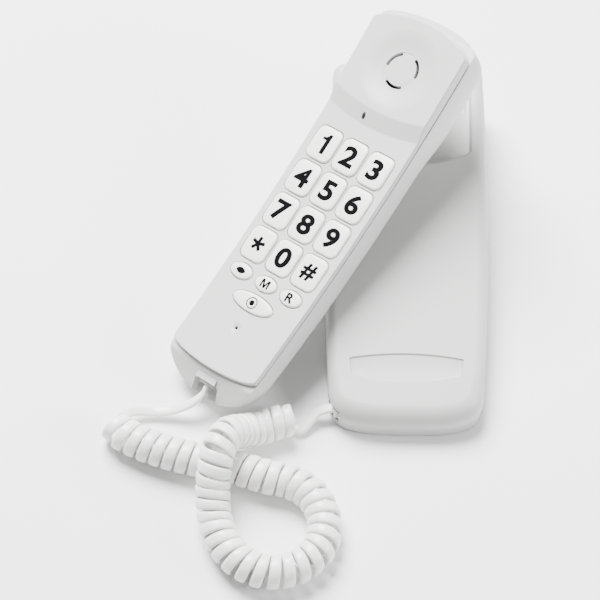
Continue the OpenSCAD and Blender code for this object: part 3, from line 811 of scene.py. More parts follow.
def legend_of(hand, name):
    """Flat mesh of a key's printed sign."""
    if name == "key_star":
        loop = []
        for arm in (90, 162, 234, 306, 378):
            way, side = math.radians(arm), math.radians(arm - 90)
            for reach, across in ((3.6 * MM, 0.85 * MM), (3.6 * MM, -0.85 * MM), (1.17 * MM, -0.85 * MM)):
                loop.append((reach * math.cos(way) + across * math.cos(side),
                             reach * math.sin(way) + across * math.sin(side)))
        return flat_outline([loop])
    if name == "key_hash":
        return flat_text(DIGITS[name], 8.2 * MM, 0.032, 1.08)
    if name == "key_1":
        h, w = hand.k.digit / 2, 1.1 * MM
        loop = [(0.2 * MM, -h), (0.2 * MM + 2 * w, -h), (0.2 * MM + 2 * w, h), (0.75 * MM, h),
                (0.35 * MM, h - 1.15 * MM), (-0.55 * MM, h - 1.9 * MM), (-1.9 * MM, h - 2.15 * MM),
                (-1.9 * MM, h - 3.35 * MM), (0.2 * MM, h - 3.35 * MM)]
        return flat_outline([loop])
    if name == "key_6":
        nine = flat_text("9", hand.k.digit, 0.036, 1.16)
        nine.data.transform(Matrix.Rotation(math.pi, 4, "Z"))
        return nine
    if name in DIGITS:
        return flat_text(DIGITS[name], hand.k.digit, 0.028 if name == "key_4" else 0.036, 1.16)
    if name == "key_memory":
        w, h, s, top = 2.3 * MM, 2.15 * MM, 0.9 * MM, 0.75 * MM
        return flat_outline([[(-w, -h), (-w, h), (-w + 1.35 * s, h), (0, -0.5 * s), (w - 1.35 * s, h),
                              (w, h), (w, -h),
                              (w - s, -h), (w - s, top), (0.5 * s, -h), (-0.5 * s, -h), (s - w, top),
                              (s - w, -h)]])
    if name == "key_recall":
        return flat_text(OVALS[name], 4.6 * MM, 0.034, 1.1)
    if name == "key_store":
        leaf = [(2.6 * MM * math.cos(a), 1.5 * MM * math.sin(a) * (1 - 0.35 * math.cos(a) ** 2))
                for a in (2 * math.pi * i / 40 for i in range(40))]
        return flat_outline([leaf])
    return flat_outline([ring_loop(2.9 * MM), ring_loop(2.35 * MM), ring_loop(1.35 * MM)])


def build_keys():
    """Sixteen keys with their printed signs, each pair on its own body."""
    hand, out = handset(), []
    for name, plan, x, y in key_plans(hand):
        out.append(key_piece(hand, name, plan, x, y))
        sign = print_on(legend_of(hand, name), name.replace("key_", "sign_"), x, y, key_top(hand, plan, x, y))
        sign.data.transform(hand.matrix())
        finish_piece(sign, name, finish("key_ink"))
        out.append(sign)
    return out


# ---- base -----------------------------------------------------------------------------------
class Base:
    """Curves of the base in the frame's axes."""

    WELL_SAG = 7.0 * MM
    LEDGE_Y = 69.0 * MM
    LEDGE_DEPTH = 5.0 * MM
    TOP_EDGE = 5.0 * MM
    KNOB_Y = 52 * MM

    def __init__(self, settings):
        self.s = settings
        self.low, self.high = -settings.length / 2, settings.length / 2

    def half(self, y):
        return self.s.width / 2 - 0.366 / MM * 0.001 * (y - 7 * MM) ** 2

    def front(self, x, y):
        return self.s.height + self.s.rise * (y - self.low)

    def edge(self, y):
        """Radius of the cover's edge: a bull nose below, small above."""
        low = smooth((self.low + 26 * MM - y) / (18 * MM))
        high = smooth((y - self.high + 14 * MM) / (10 * MM))
        radius = lerp(self.s.edge, self.s.nose, low)
        return lerp(radius, self.TOP_EDGE, high)

    def outline(self, inset_at):
        """Ring of (x, y); inset_at gives the inset for a point's y."""
        up, lo, rows = self.high - 12 * MM, self.low + 20 * MM, 56
        top = [(x, up + y) for x, y in super_end(self.half(up), 12 * MM, 4.5, 48)]
        low = [(-x, lo - y) for x, y in super_end(self.half(lo), 20 * MM, 3.3, 64)]
        left = [(-self.half(y), y) for y in (lerp(up, lo, i / rows) for i in range(1, rows))]
        right = [(self.half(y), y) for y in (lerp(lo, up, i / rows) for i in range(1, rows))]
        ring = top + left + low + right
        pts = np.array(ring)
        along = np.roll(pts, -1, 0) - np.roll(pts, 1, 0)
        along /= np.linalg.norm(along, axis=1)[:, None]
        inwards_way = np.stack([-along[:, 1], along[:, 0]], 1)
        return [(x + inset_at(y) * n[0], y + inset_at(y) * n[1]) for (x, y), n in zip(ring, inwards_way)]


def cover_form(name, base, inset, foot):
    """Closed form of the cover: straight wall, rounded edge, flat raked front."""
    rings = [[(x, y, foot) for x, y in base.outline(lambda y: inset)]]
    if inset == 0:
        rings = [[(x, y, foot) for x, y in base.outline(lambda y: 0.3 * MM)],
                 [(x, y, foot + 0.3 * MM) for x, y in base.outline(lambda y: 0.0)]]
    for i in range(0, 13):
        a = math.pi / 2 * i / 12
        ring = base.outline(lambda y: inset + base.edge(y) * (1 - math.cos(a)))
        outer = base.outline(lambda y: inset)
        rings.append([(x, y, base.front(x, oy) + base.s.rise * (y - oy) - inset
                       - base.edge(oy) * (1 - math.sin(a)))
                      for (x, y), (_, oy) in zip(ring, outer)])
    return solid(name, rings)


def well_plan(base, grow, y_high):
    """Plan of the ear well: curved lower edge, straight sides, past the cover's upper end."""
    half, low = base.s.well_width / 2 + grow, base.high - base.s.well_length - grow
    line = [(half * i / 30, low + base.WELL_SAG * abs(i / 30) ** 2.6) for i in range(-30, 31)]
    line = [p for p in line if abs(p[0]) <= half - 1.6 * MM]
    turn = line[-1][1] + 1.9 * MM
    corner = [(half - 1.6 * MM * (1 - math.sin(a)), turn + 1.6 * MM * (1 - math.cos(a)) - 1.2 * MM)
              for a in (math.pi / 2 * i / 6 for i in range(1, 7))]
    rows = [lerp(turn + 1.5 * MM, y_high, i / 30) for i in range(31)]
    right = corner + [(half, y) for y in rows]
    left = [(-x, y) for x, y in reversed(right)]
    return line + right + left


def well_cutter(name, base, levels, y_high=None):
    """Cutter of the well; levels are (grow, depth below the front)."""
    rings = []
    for grow, depth in levels:
        plan = well_plan(base, grow, base.high + 6 * MM if y_high is None else y_high)
        rings.append([(x, y, base.front(x, y) - depth) for x, y in plan])
    return solid(name, rings)


def strip_plan():
    """Plan of the shallow panel low on the cover, bowed at its upper and lower edges."""
    upper = [(lerp(26 * MM, -26 * MM, i / 24), -62 * MM) for i in range(25)]
    lower = [(lerp(-25 * MM, 25 * MM, i / 24), -69.5 * MM) for i in range(25)]
    bow = [1 - (i / 12 - 1) ** 2 for i in range(25)]
    return [(x, y + 2.4 * MM * b) for (x, y), b in zip(upper, bow)] + \
           [(x, y - 3.6 * MM * b) for (x, y), b in zip(lower, bow)]


STRIP_RIM = [(-0.5, 0.66), (-0.2, 0.6), (0.0, 0.44), (0.16, 0.1), (0.34, 0.008), (0.4, -0.09), (0.4, -1.0)]


def build_cover():
    """The base's cover: rounded edges, ear well with its ledge, shallow panel and openings."""
    base = Base(bpy.context.scene.phone_base)
    wall, depth = base.s.wall, base.s.well_depth
    cover = cover_form("base_shell", base, 0.0, base.s.seam)
    room = cover_form("room", base, wall, base.s.seam - 3 * MM)
    carve(room, well_cutter("well_back", base, [(wall, depth + wall), (wall, -9 * MM)]))
    deep = depth + base.LEDGE_DEPTH
    ledge_back = [[(x, y, base.front(x, y) - d) for x, y in
                   [(-30 * MM, base.LEDGE_Y - 2 * MM), (30 * MM, base.LEDGE_Y - 2 * MM),
                    (30 * MM, base.high + 6 * MM), (-30 * MM, base.high + 6 * MM)]] for d in (deep + wall,
                                                                                              1 * MM)]
    carve(room, solid("ledge_back", ledge_back))
    carve(cover, room)
    rim = [(-0.9, 9.0), (-0.45, 8.85), (-0.2, 8.4), (0.0, 0.75), (0.1, 0.4), (0.35, 0.12), (0.75, 0.01),
           (0.86, -0.1), (0.9, -3.0)]
    carve(cover, well_cutter("well", base, in_mm(rim)))
    ledge = []
    for grow, down in in_mm([(-0.6, 14.0), (-0.2, 13.6), (0.0, 9.6), (0.35, 9.0), (0.5, 8.0)]):
        plan = [(-27.8 * MM - grow, base.LEDGE_Y - grow), (27.8 * MM + grow, base.LEDGE_Y - grow),
                (27.8 * MM + grow, base.high + 6 * MM), (-27.8 * MM - grow, base.high + 6 * MM)]
        ledge.append([(x, y, base.front(x, y) - down) for x, y in plan])
    carve(cover, solid("ledge", ledge))
    strip = strip_plan()
    carve(cover, conformal(strip, in_mm(STRIP_RIM), base.front))
    lo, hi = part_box("hook_plunger")
    middle = (lo + hi) / 2
    floor = base.front(0, middle.y) - depth
    round_hole = [[(middle.x + r * MM * math.cos(a), middle.y + r * MM * math.sin(a), floor + z * MM)
                   for a in (2 * math.pi * i / 64 for i in range(64))]
                  for r, z in ((4.3, -6), (4.3, -0.7), (4.6, -0.1), (5.2, 0.75), (5.3, 2.5))]
    carve(cover, solid("plunger_hole", round_hole))
    lo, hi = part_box("base_plug")
    y, z = (lo.y + hi.y) / 2, (lo.z + hi.z) / 2
    wide, tall = (hi.y - lo.y) / 2 + 1.0 * MM, (hi.z - lo.z) / 2 + 1.0 * MM
    mouth = [[(x, y - wide - t, z - tall - t), (x, y + wide + t, z - tall - t),
              (x, y + wide + t, z + tall + t), (x, y - wide - t, z + tall + t)]
             for x, t in ((-60 * MM, 0.8 * MM), (-36.5 * MM, 0.8 * MM), (-33.8 * MM, 0.0), (-20 * MM, 0.0))]
    carve(cover, solid("cord_mouth", mouth))
    lo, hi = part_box("ringer_switch_knob")
    z, y = (lo.z + hi.z) / 2, base.KNOB_Y
    groove = [[(x, y - 4 * MM - t, z - 1.6 * MM - t), (x, y + 4 * MM + t, z - 1.6 * MM - t),
               (x, y + 4 * MM + t, z + 1.6 * MM + t), (x, y - 4 * MM - t, z + 1.6 * MM + t)]
              for x, t in ((-60 * MM, 0.5 * MM), (-38.0 * MM, 0.5 * MM), (-37.3 * MM, 0.0), (-30 * MM, 0.0))]
    carve(cover, solid("knob_groove", groove))
    lo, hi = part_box("line_jack")
    line = [[(lo.x - 0.3 * MM - t, y, lo.z - 0.3 * MM - t), (hi.x + 0.3 * MM + t, y, lo.z - 0.3 * MM - t),
             (hi.x + 0.3 * MM + t, y, hi.z + 0.3 * MM + t), (lo.x - 0.3 * MM - t, y, hi.z + 0.3 * MM + t)]
            for y, t in ((80 * MM, 0.0), (90.9 * MM, 0.0), (91.6 * MM, 0.6 * MM), (110 * MM, 0.6 * MM))]
    carve(cover, solid("line_mouth", line))

    def skin(point):
        flat = Vector((0, -base.s.rise, 1)).normalized()
        return flat if abs(point.z - base.front(point.x, point.y)) < 0.01 * MM else None

    shade(cover, 32, skin)
    return finish_piece(cover, "base", finish("base_plastic"), ["base_cover"])


# ---- cord -----------------------------------------------------------------------------------
def curve_through(points, steps):
    """Smooth curve through points."""
    pts = [np.array(p, float) * MM for p in points]
    out, n = [], len(pts)
    for i in range(n - 1):
        a, b, c, d = pts[max(0, i - 1)], pts[i], pts[i + 1], pts[min(n - 1, i + 2)]
        for k in range(steps):
            t = k / steps
            bow = (2 * a - 5 * b + 4 * c - d) + t * (3 * (b - c) + d - a)
            out.append(b + 0.5 * t * ((c - a) + t * bow))
    out.append(pts[-1])
    return np.array(out)


def evenly(points, spacing):
    """The same line with points at an even spacing."""
    steps = np.linalg.norm(np.diff(points, axis=0), axis=1)
    along = np.concatenate([[0], np.cumsum(steps)])
    count = max(2, int(round(along[-1] / spacing)) + 1)
    at = np.linspace(0, along[-1], count)
    return np.stack([np.interp(at, along, points[:, i]) for i in range(3)], 1), at


def unit(v):
    return v / max(1e-12, np.linalg.norm(v))


class Cord:
    """Middle line of the curly cord with, at each point, its broad way and its breadth."""

    def __init__(self, settings):
        self.s = settings
        axis, at = evenly(curve_through(COIL_ROUTE, 12), 0.4 * MM)
        tangent = np.gradient(axis, axis=0)
        tangent /= np.linalg.norm(tangent, axis=1)[:, None]
        side = [unit(np.cross(tangent[0], [0, 0, 1.0]))]
        for t in tangent[1:]:
            side.append(unit(side[-1] - t * np.dot(side[-1], t)))
        side = np.array(side)
        bend = np.gradient(tangent, axis=0) / (at[1] - at[0])
        radius = (settings.coil - settings.thickness) / 2
        total, turn, angle = at[-1], [], math.radians(-135)
        share_of = lambda s: smooth((s / total - 0.70) / 0.12)
        for s in at:
            turn.append(angle)
            angle += 2 * math.pi * (at[1] - at[0]) / lerp(settings.pitch, settings.tight_pitch, share_of(s))
        turn = np.array(turn)
        fine = np.linspace(turn[0], turn[-1], int((turn[-1] - turn[0]) / (2 * math.pi) * settings.steps))
        s = np.interp(fine, turn, at)
        pick = lambda a: np.stack([np.interp(s, at, a[:, i]) for i in range(3)], 1)
        axis, tangent, side, bend = pick(axis), pick(tangent), pick(side), pick(bend)
        up = np.cross(side, tangent)
        out_way = side * np.cos(fine)[:, None] + up * np.sin(fine)[:, None]
        line = axis + out_way * radius
        line[:, 2] = np.maximum(line[:, 2], settings.thickness / 2 + 0.05 * MM)
        gap = np.array([lerp(settings.pitch, settings.tight_pitch, share_of(v)) for v in s])
        squeeze = 1 - radius * np.einsum("ij,ij->i", bend, out_way)
        breadth = np.minimum(settings.width, 0.9 * gap * np.clip(squeeze, 0.35, 1.3))
        lead = self.joined_to(LEAD_ROUTE, line[:2], True)
        tail = self.joined_to(TAIL_ROUTE, line[-2:], False)
        self.line = np.concatenate([lead, line, tail])
        for joint in (len(lead), len(lead) + len(line)):
            near = self.line[joint - 16:joint + 16]
            for _ in range(18):
                near[1:-1] += (near[:-2] + near[2:] - 2 * near[1:-1]) / 4
        flat = lambda n, way: np.tile(np.array(way, float), (n, 1))
        wide_lead = flat(len(lead), (0.45, 0.85, 0.1))
        wide_tail = flat(len(tail), (0.35, 0.9, 0.1))
        self.wide = np.concatenate([wide_lead, tangent, wide_tail])
        self.breadth = np.concatenate([np.full(len(lead), settings.width * 0.92), breadth,
                                       np.full(len(tail), settings.width * 0.92)])
        self.outward = np.concatenate([flat(len(lead), (0, 0, 1)), out_way, flat(len(tail), (0, 0, 1))])
        for name, span in (("wide", 17), ("outward", 17), ("breadth", 9)):
            value = getattr(self, name)
            kernel = np.ones(span) / span
            for edge in (len(lead), len(lead) + len(line)):
                lo, hi = max(0, edge - 22), min(len(value), edge + 22)
                block = value[lo:hi]
                wrapped = block if block.ndim == 2 else block[:, None]
                padded = np.pad(wrapped, ((span // 2, span // 2), (0, 0)), mode="edge")
                eased = np.stack([np.convolve(padded[:, i], kernel,
                                              "valid") for i in range(padded.shape[1])], 1)
                value[lo:hi] = eased if block.ndim == 2 else eased[:, 0]

    def joined_to(self, route, ends, first):
        """A lead or tail that runs smoothly into the helix."""
        step = ends[1] - ends[0]
        way = unit(step)
        if first:
            near = [tuple((ends[0] - way * d) / MM) for d in (5.0 * MM, 2.0 * MM)]
            line = curve_through(list(route) + near + [tuple(ends[0] / MM)], 8)
            return evenly(line, 1.2 * MM)[0][:-1]
        near = [tuple((ends[1] + way * d) / MM) for d in (2.0 * MM, 5.0 * MM)]
        line = curve_through([tuple(ends[1] / MM)] + near + list(route), 8)
        return evenly(line, 1.2 * MM)[0][1:]

    def length(self):
        return float(np.linalg.norm(np.diff(self.line, axis=0), axis=1).sum())

    def mesh(self):
        """Rings of the flat, slightly crowned section along the line."""
        half_t, rings = self.s.thickness / 2, []
        ahead = np.gradient(self.line, axis=0)
        for p, t, w, b, o in zip(self.line, ahead, self.wide, self.breadth, self.outward):
            t = unit(t)
            w = unit(w - t * np.dot(w, t))
            n = unit(np.cross(t, w))
            if np.dot(n, o) < 0:
                n = -n
            ring = []
            for u, v in self.section():
                ring.append(p + w * (u * b / 2) + n * (v * half_t))
            rings.append([(q[0], q[1], max(q[2], 0.05 * MM)) for q in ring])
        return rings

    @staticmethod
    def section():
        """Across and through shares of the cord's section: crowned outside, flat inside."""
        pts = [(-1.0, 0.0), (-0.97, 0.42), (-0.86, 0.72), (-0.6, 0.9), (-0.25, 0.99), (0.25, 0.99),
               (0.6, 0.9),
               (0.86, 0.72), (0.97, 0.42), (1.0, 0.0), (0.95, -0.5), (0.78, -0.85), (0.0, -0.95),
               (-0.78, -0.85),
               (-0.95, -0.5)]
        return pts


def build_cord():
    """The curly cord, from the handset's plug round its loop to the base's plug."""
    line = Cord(bpy.context.scene.phone_cord)
    cord = solid("curly_cord", line.mesh())
    shade(cord, 60)
    # The cord's finish carries painted shade: its colour is darkened for the gaps between the coil's turns.
    cord.data.materials.append(finish("cord_vinyl"))
    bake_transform(cord)
    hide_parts("cord_lead", "cord_coil", "cord_tail")
    return cord, line


# ---- plugs and small parts ------------------------------------------------------------------
def plug_mesh(name):
    """Modular plug in millimetres: x along its entry, y across, z up; mouth of the cord at x = 0."""
    body = solid(name, [[(x * MM, y * MM, z * MM) for y, z in
                         ((-3.75 + c, -3.1), (3.75 - c, -3.1), (3.75, -3.1 + c), (3.75, 3.1 - c),
                          (3.75 - c, 3.1), (-3.75 + c, 3.1), (-3.75, 3.1 - c), (-3.75, -3.1 + c))]
                        for x, c in ((0.25, 0.9), (0.6, 0.5), (11.0, 0.5), (11.4, 0.8))])
    mouth = solid("mouth", [[(x * MM, y * MM, z * MM) for y, z in
                             ((-2.9 - t, -1.4 - t), (2.9 + t, -1.4 - t), (2.9 + t, 1.4 + t),
                              (-2.9 - t, 1.4 + t))]
                            for x, t in ((-1.0, 0.35), (0.3, 0.3), (1.2, 0.0), (3.0, 0.0))])
    carve(body, mouth)
    dip = solid("dip", [[(x * MM, y * MM, z * MM) for x, z in
                         ((5.6, -4.0), (9.6, -4.0), (9.0, -1.9), (6.4, -1.9))] for y in (-2.4, 2.4)])
    carve(body, dip)
    latch = solid("latch", [[(x * MM, y * MM, z * MM) for x, z in
                             ((11.2, 3.0), (11.3, 3.16), (8.0, 3.2), (3.0, 3.2), (3.0, 2.9), (8.0, 2.2),
                              (11.0, 2.2))]
                            for y in (-1.55, 1.55)])
    carve(body, latch, "UNION")
    return body


def contact_tree():
    """Geometry Nodes: a row of contact blades, with named inputs for count, pitch and size."""
    tree = bpy.data.node_groups.new("contact_row", "GeometryNodeTree")
    face = tree.interface
    face.new_socket("Count", in_out="INPUT", socket_type="NodeSocketInt").default_value = 4
    face.new_socket("Pitch", in_out="INPUT", socket_type="NodeSocketFloat").default_value = 1.02 * MM
    blade_size = face.new_socket("Blade", in_out="INPUT", socket_type="NodeSocketVector")
    blade_size.default_value = (3.6 * MM, 0.32 * MM, 1.6 * MM)
    face.new_socket("Start", in_out="INPUT", socket_type="NodeSocketVector").default_value = (0, 0, 0)
    face.new_socket("Material", in_out="INPUT", socket_type="NodeSocketMaterial")
    face.new_socket("Geometry", in_out="OUTPUT", socket_type="NodeSocketGeometry")
    link, node = tree.links.new, tree.nodes.new
    given, given_out = node("NodeGroupInput"), node("NodeGroupOutput")
    row, blade = node("GeometryNodeMeshLine"), node("GeometryNodeMeshCube")
    place = node("GeometryNodeInstanceOnPoints")
    step, real = node("ShaderNodeCombineXYZ"), node("GeometryNodeRealizeInstances")
    paint = node("GeometryNodeSetMaterial")
    link(given.outputs["Count"], row.inputs["Count"])
    link(given.outputs["Start"], row.inputs["Start Location"])
    link(given.outputs["Pitch"], step.inputs["Y"])
    link(step.outputs[0], row.inputs["Offset"])
    link(given.outputs["Blade"], blade.inputs["Size"])
    link(row.outputs[0], place.inputs["Points"])
    link(blade.outputs["Mesh"], place.inputs["Instance"])
    link(place.outputs[0], real.inputs[0])
    link(real.outputs[0], paint.inputs["Geometry"])
    link(given.outputs["Material"], paint.inputs["Material"])
    link(paint.outputs[0], given_out.inputs[0])
    return tree


def ring_tree():
    """Geometry Nodes: one part repeated at points on a ring, turned to follow it."""
    tree = bpy.data.node_groups.new("ring_of_parts", "GeometryNodeTree")
    face = tree.interface
    face.new_socket("Part", in_out="INPUT", socket_type="NodeSocketObject")
    face.new_socket("Count", in_out="INPUT", socket_type="NodeSocketInt").default_value = 12
    face.new_socket("Radius", in_out="INPUT", socket_type="NodeSocketFloat").default_value = 3 * MM
    face.new_socket("Place", in_out="INPUT", socket_type="NodeSocketVector").default_value = (0, 0, 0)
    face.new_socket("Material", in_out="INPUT", socket_type="NodeSocketMaterial")
    face.new_socket("Geometry", in_out="OUTPUT", socket_type="NodeSocketGeometry")
    link, node = tree.links.new, tree.nodes.new
    given, given_out = node("NodeGroupInput"), node("NodeGroupOutput")
    ring, part = node("GeometryNodeMeshCircle"), node("GeometryNodeObjectInfo")
    place = node("GeometryNodeInstanceOnPoints")
    index, turn, spin = node("GeometryNodeInputIndex"), node("ShaderNodeMath"), node("ShaderNodeCombineXYZ")
    share = node("ShaderNodeMath")
    move, real = node("GeometryNodeTransform"), node("GeometryNodeRealizeInstances")
    paint = node("GeometryNodeSetMaterial")
    share.operation, turn.operation = "DIVIDE", "MULTIPLY"
    turn.inputs[1].default_value = 2 * math.pi
    link(given.outputs["Count"], ring.inputs["Vertices"])
    link(given.outputs["Radius"], ring.inputs["Radius"])
    link(given.outputs["Part"], part.inputs["Object"])
    link(ring.outputs[0], place.inputs["Points"])
    link(part.outputs["Geometry"], place.inputs["Instance"])
    link(index.outputs[0], share.inputs[0])
    link(given.outputs["Count"], share.inputs[1])
    link(share.outputs[0], turn.inputs[0])
    link(turn.outputs[0], spin.inputs["Z"])
    link(spin.outputs[0], place.inputs["Rotation"])
    link(place.outputs[0], move.inputs["Geometry"])
    link(given.outputs["Place"], move.inputs["Translation"])
    link(move.outputs[0], real.inputs[0])
    link(real.outputs[0], paint.inputs["Geometry"])
    link(given.outputs["Material"], paint.inputs["Material"])
    link(paint.outputs[0], given_out.inputs[0])
    return tree


def run_nodes(name, tree, **values):
    """A plain mesh object from a Geometry Nodes tree and its named inputs."""
    holder = new_piece(name, [(0, 0, 0)], [])
    maker = holder.modifiers.new("nodes", "NODES")
    maker.node_group = tree
    sockets = {i.name: i.identifier for i in tree.interface.items_tree if i.in_out == "INPUT"}
    for key, value in values.items():
        maker[sockets[key]] = value
    bpy.context.view_layer.update()
    bake_modifiers(holder)
    if len(holder.data.polygons) == 0:
        raise RuntimeError(f"{name} came out empty")
    return holder


def tree_named(name, make):
    return bpy.data.node_groups.get(name) or make()


def build_plugs():
    """The cord's two plugs, each a clear shell with its row of contacts, where the frame has them."""
    hand = handset()
    lo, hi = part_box("base_plug")
    at_base = Matrix.Translation((lo.x, (lo.y + hi.y) / 2, (lo.z + hi.z) / 2))
    into = hand.matrix() @ Matrix.Translation((0, -hand.half - 8.0 * MM,
                                               -3.6 * MM)) @ Matrix.Rotation(math.pi / 2, 4, "Z")
    out = []
    for name, place, body, node in (("plug_at_base", at_base, "base", "base_plug"),
                                    ("plug_at_handset", into, "handset", "handset_plug")):
        plug = plug_mesh(name)
        shade(plug, 30)
        plug.data.transform(place)
        finish_piece(plug, body, finish("plug_plastic"), [node])
        row = run_nodes(name + "_contacts", tree_named("contact_row", contact_tree), Count=4, Pitch=1.02 * MM,
                        Blade=(3.4 * MM, 0.32 * MM, 1.5 * MM), Start=(7.9 * MM, -1.53 * MM, -2.2 * MM),
                        Material=finish("gilt_contact"))
        row.data.transform(place)
        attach(row, body)
        out += [plug, row]
    return out


def lathe(name, profile, centre, steps=64, axis="Z"):
    """Closed turned piece from (radius, height) in mm about a centre."""
    rings = []
    for radius, height in profile:
        ring = []
        for i in range(steps):
            a = 2 * math.pi * i / steps
            x, y, z = radius * MM * math.cos(a), radius * MM * math.sin(a), height * MM
            ring.append(Vector(centre) + (Vector((x, y, z)) if axis == "Z" else Vector((-z, x, y))))
        rings.append(ring)
    return solid(name, rings)


def build_plunger():
    """The hook plunger: domed post, collar and stem."""
    lo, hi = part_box("hook_plunger")
    middle, h = (lo + hi) / 2, (hi.z - lo.z) / MM
    profile = [(1.45, 0.0), (1.6, 0.2), (1.6, 4.3), (5.4, 4.35), (5.55, 4.5), (5.55, 5.4), (5.4, 5.58),
               (4.0, 5.6),
               (4.0, h - 1.3), (3.9, h - 0.8), (3.6, h - 0.35), (3.1, h - 0.1), (2.4, h), (1.2, h - 0.06),
               (0.1, h - 0.08)]
    post = lathe("hook_button", profile, (middle.x, middle.y, lo.z))
    shade(post, 35)
    return finish_piece(post, "hook_plunger", finish("key_plastic"), ["hook_plunger"])


def build_knob():
    """The ringer knob: a stem with ridges across its thumb face."""
    lo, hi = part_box("ringer_switch_knob")
    x, y0, y1, z0, z1 = lo.x, lo.y, hi.y, lo.z, hi.z
    line = [(hi.x, y0), (x + 0.25 * MM, y0), (x, y0 + 0.25 * MM)]
    for i in range(3):
        y = lerp(y0, y1, (i + 0.75) / 3.5)
        line += [(x, y), (x + 0.3 * MM, y + 0.15 * MM), (x + 0.3 * MM, y + 0.35 * MM), (x, y + 0.5 * MM)]
    line += [(x, y1 - 0.25 * MM), (x + 0.25 * MM, y1), (hi.x, y1)]
    rings = [[(px + t, py, z) for px, py in line] for z, t in
             ((z0, 0.25 * MM), (z0 + 0.2 * MM, 0.0), (z1 - 0.2 * MM, 0.0), (z1, 0.25 * MM))]
    knob = solid("ringer_thumb", rings)
    shade(knob, 25)
    return finish_piece(knob, "ringer_knob", finish("dark_plastic"), ["ringer_switch_knob"])


def build_feet():
    """Four rubber feet, each a dished pad with a ring of ribs from Geometry Nodes."""
    co = np.array([v.co for v in frame["nodes"]["rubber_feet"].data.vertices])
    parts = []
    for sx in (-1, 1):
        for sy in (-1, 1):
            own = co[(co[:, 0] * sx > 0) & (co[:, 1] * sy > 0)]
            lo, hi = own.min(0), own.max(0)
            x, y, h, r = (lo[0] + hi[0]) / 2, (lo[1] + hi[1]) / 2, hi[2] / MM, (hi[0] - lo[0]) / 2 / MM
            profile = [(0.1, 0.25), (r - 1.9, 0.25), (r - 1.6, 0.0), (r - 0.5, 0.0), (r - 0.1, 0.2), (r, 0.6),
                       (r, h - 0.1), (r - 0.1, h), (0.1, h)]
            parts.append(lathe("foot", profile, (x, y, 0), 48))
            rib = solid("rib", box_rings(-0.6 * MM, 0.6 * MM, -0.16 * MM, 0.16 * MM, 0.03 * MM, 0.3 * MM))
            parts.append(run_nodes("ribs", tree_named("ring_of_parts", ring_tree), Part=rib, Count=10,
                                   Radius=1.6 * MM, Place=(x, y, 0), Material=finish("rubber")))
            bpy.data.objects.remove(rib)
    feet = joined("rubber_pads", parts)
    shade(feet, 35)
    return finish_piece(feet, "base", finish("rubber"), ["rubber_feet"])


def build_screws():
    """Cross-head screws: turned heads with a cross recess, at the frame's screw places."""
    out = []
    for node, body, way in (("base_screws", "base", Matrix.Identity(4)),
                            ("handset_screws", "handset", handset().matrix())):
        back = way.inverted()
        co = np.array([back @ v.co for v in frame["nodes"][node].data.vertices])
        parts = []
        for sx in (-1, 1):
            for sy in (-1, 1):
                own = co[(co[:, 0] * sx > 0) & (co[:, 1] * sy > 0)]
                lo, hi = own.min(0), own.max(0)
                x, y, z, length = (lo[0] + hi[0]) / 2, (lo[1] + hi[1]) / 2, lo[2], (hi[2] - lo[2]) / MM
                r = (hi[0] - lo[0]) / 2 / MM
                profile = [(0.1, 0.0), (r - 1.0, 0.06), (r - 0.35, 0.3), (r, 0.85), (r, 1.0), (1.3, 1.02)]
                turns = int((length - 2) / 0.5)
                for i in range(turns):
                    profile += [(1.38, 1.1 + 0.5 * i), (1.12, 1.35 + 0.5 * i)]
                profile += [(1.2, length - 0.5), (0.1, length)]
                head = lathe("screw", profile, (x, y, z), 36)
                for a in (0, math.pi / 2):
                    ring = lambda h, w: [Vector((x, y, z)) + Matrix.Rotation(a, 3,
                                                                             "Z") @ Vector((px, py, h * MM))
                                         for px, py in ((-w, -0.3 * MM), (w, -0.3 * MM), (w, 0.3 * MM),
                                                        (-w, 0.3 * MM))]
                    carve(head, solid("cross", [ring(-0.5, 1.5 * MM), ring(0.75, 0.7 * MM)]))
                parts.append(head)
        screws = joined(node.replace("_screws", "_cross_screws"), parts)
        shade(screws, 30)
        screws.data.transform(way)
        out.append(finish_piece(screws, body, finish("zinc_steel"), [node]))
    return out


def build_lamp():
    """The lamp's lens: a small domed window."""
    hand = handset()
    y = 42.7 * MM
    x = -5 * MM
    plan = [(px + x, py + y) for px, py in oval_plan(1.4 * MM, 2.8 * MM, 36)]
    rings = [[(px, py, hand.face(px, py) - 4 * MM) for px, py in plan]]
    for inset, below in ((0.0, 0.75), (0.1, 0.6), (0.3, 0.48), (0.55, 0.42)):
        rings.append([(px, py, hand.face(px, py) - below * MM) for px, py in grown(plan, -inset * MM)])
    lens = solid("lamp_window", rings)
    shade(lens, 40)
    lens.data.transform(hand.matrix())
    return finish_piece(lens, "handset", finish("lamp_red"), ["led_lens"])


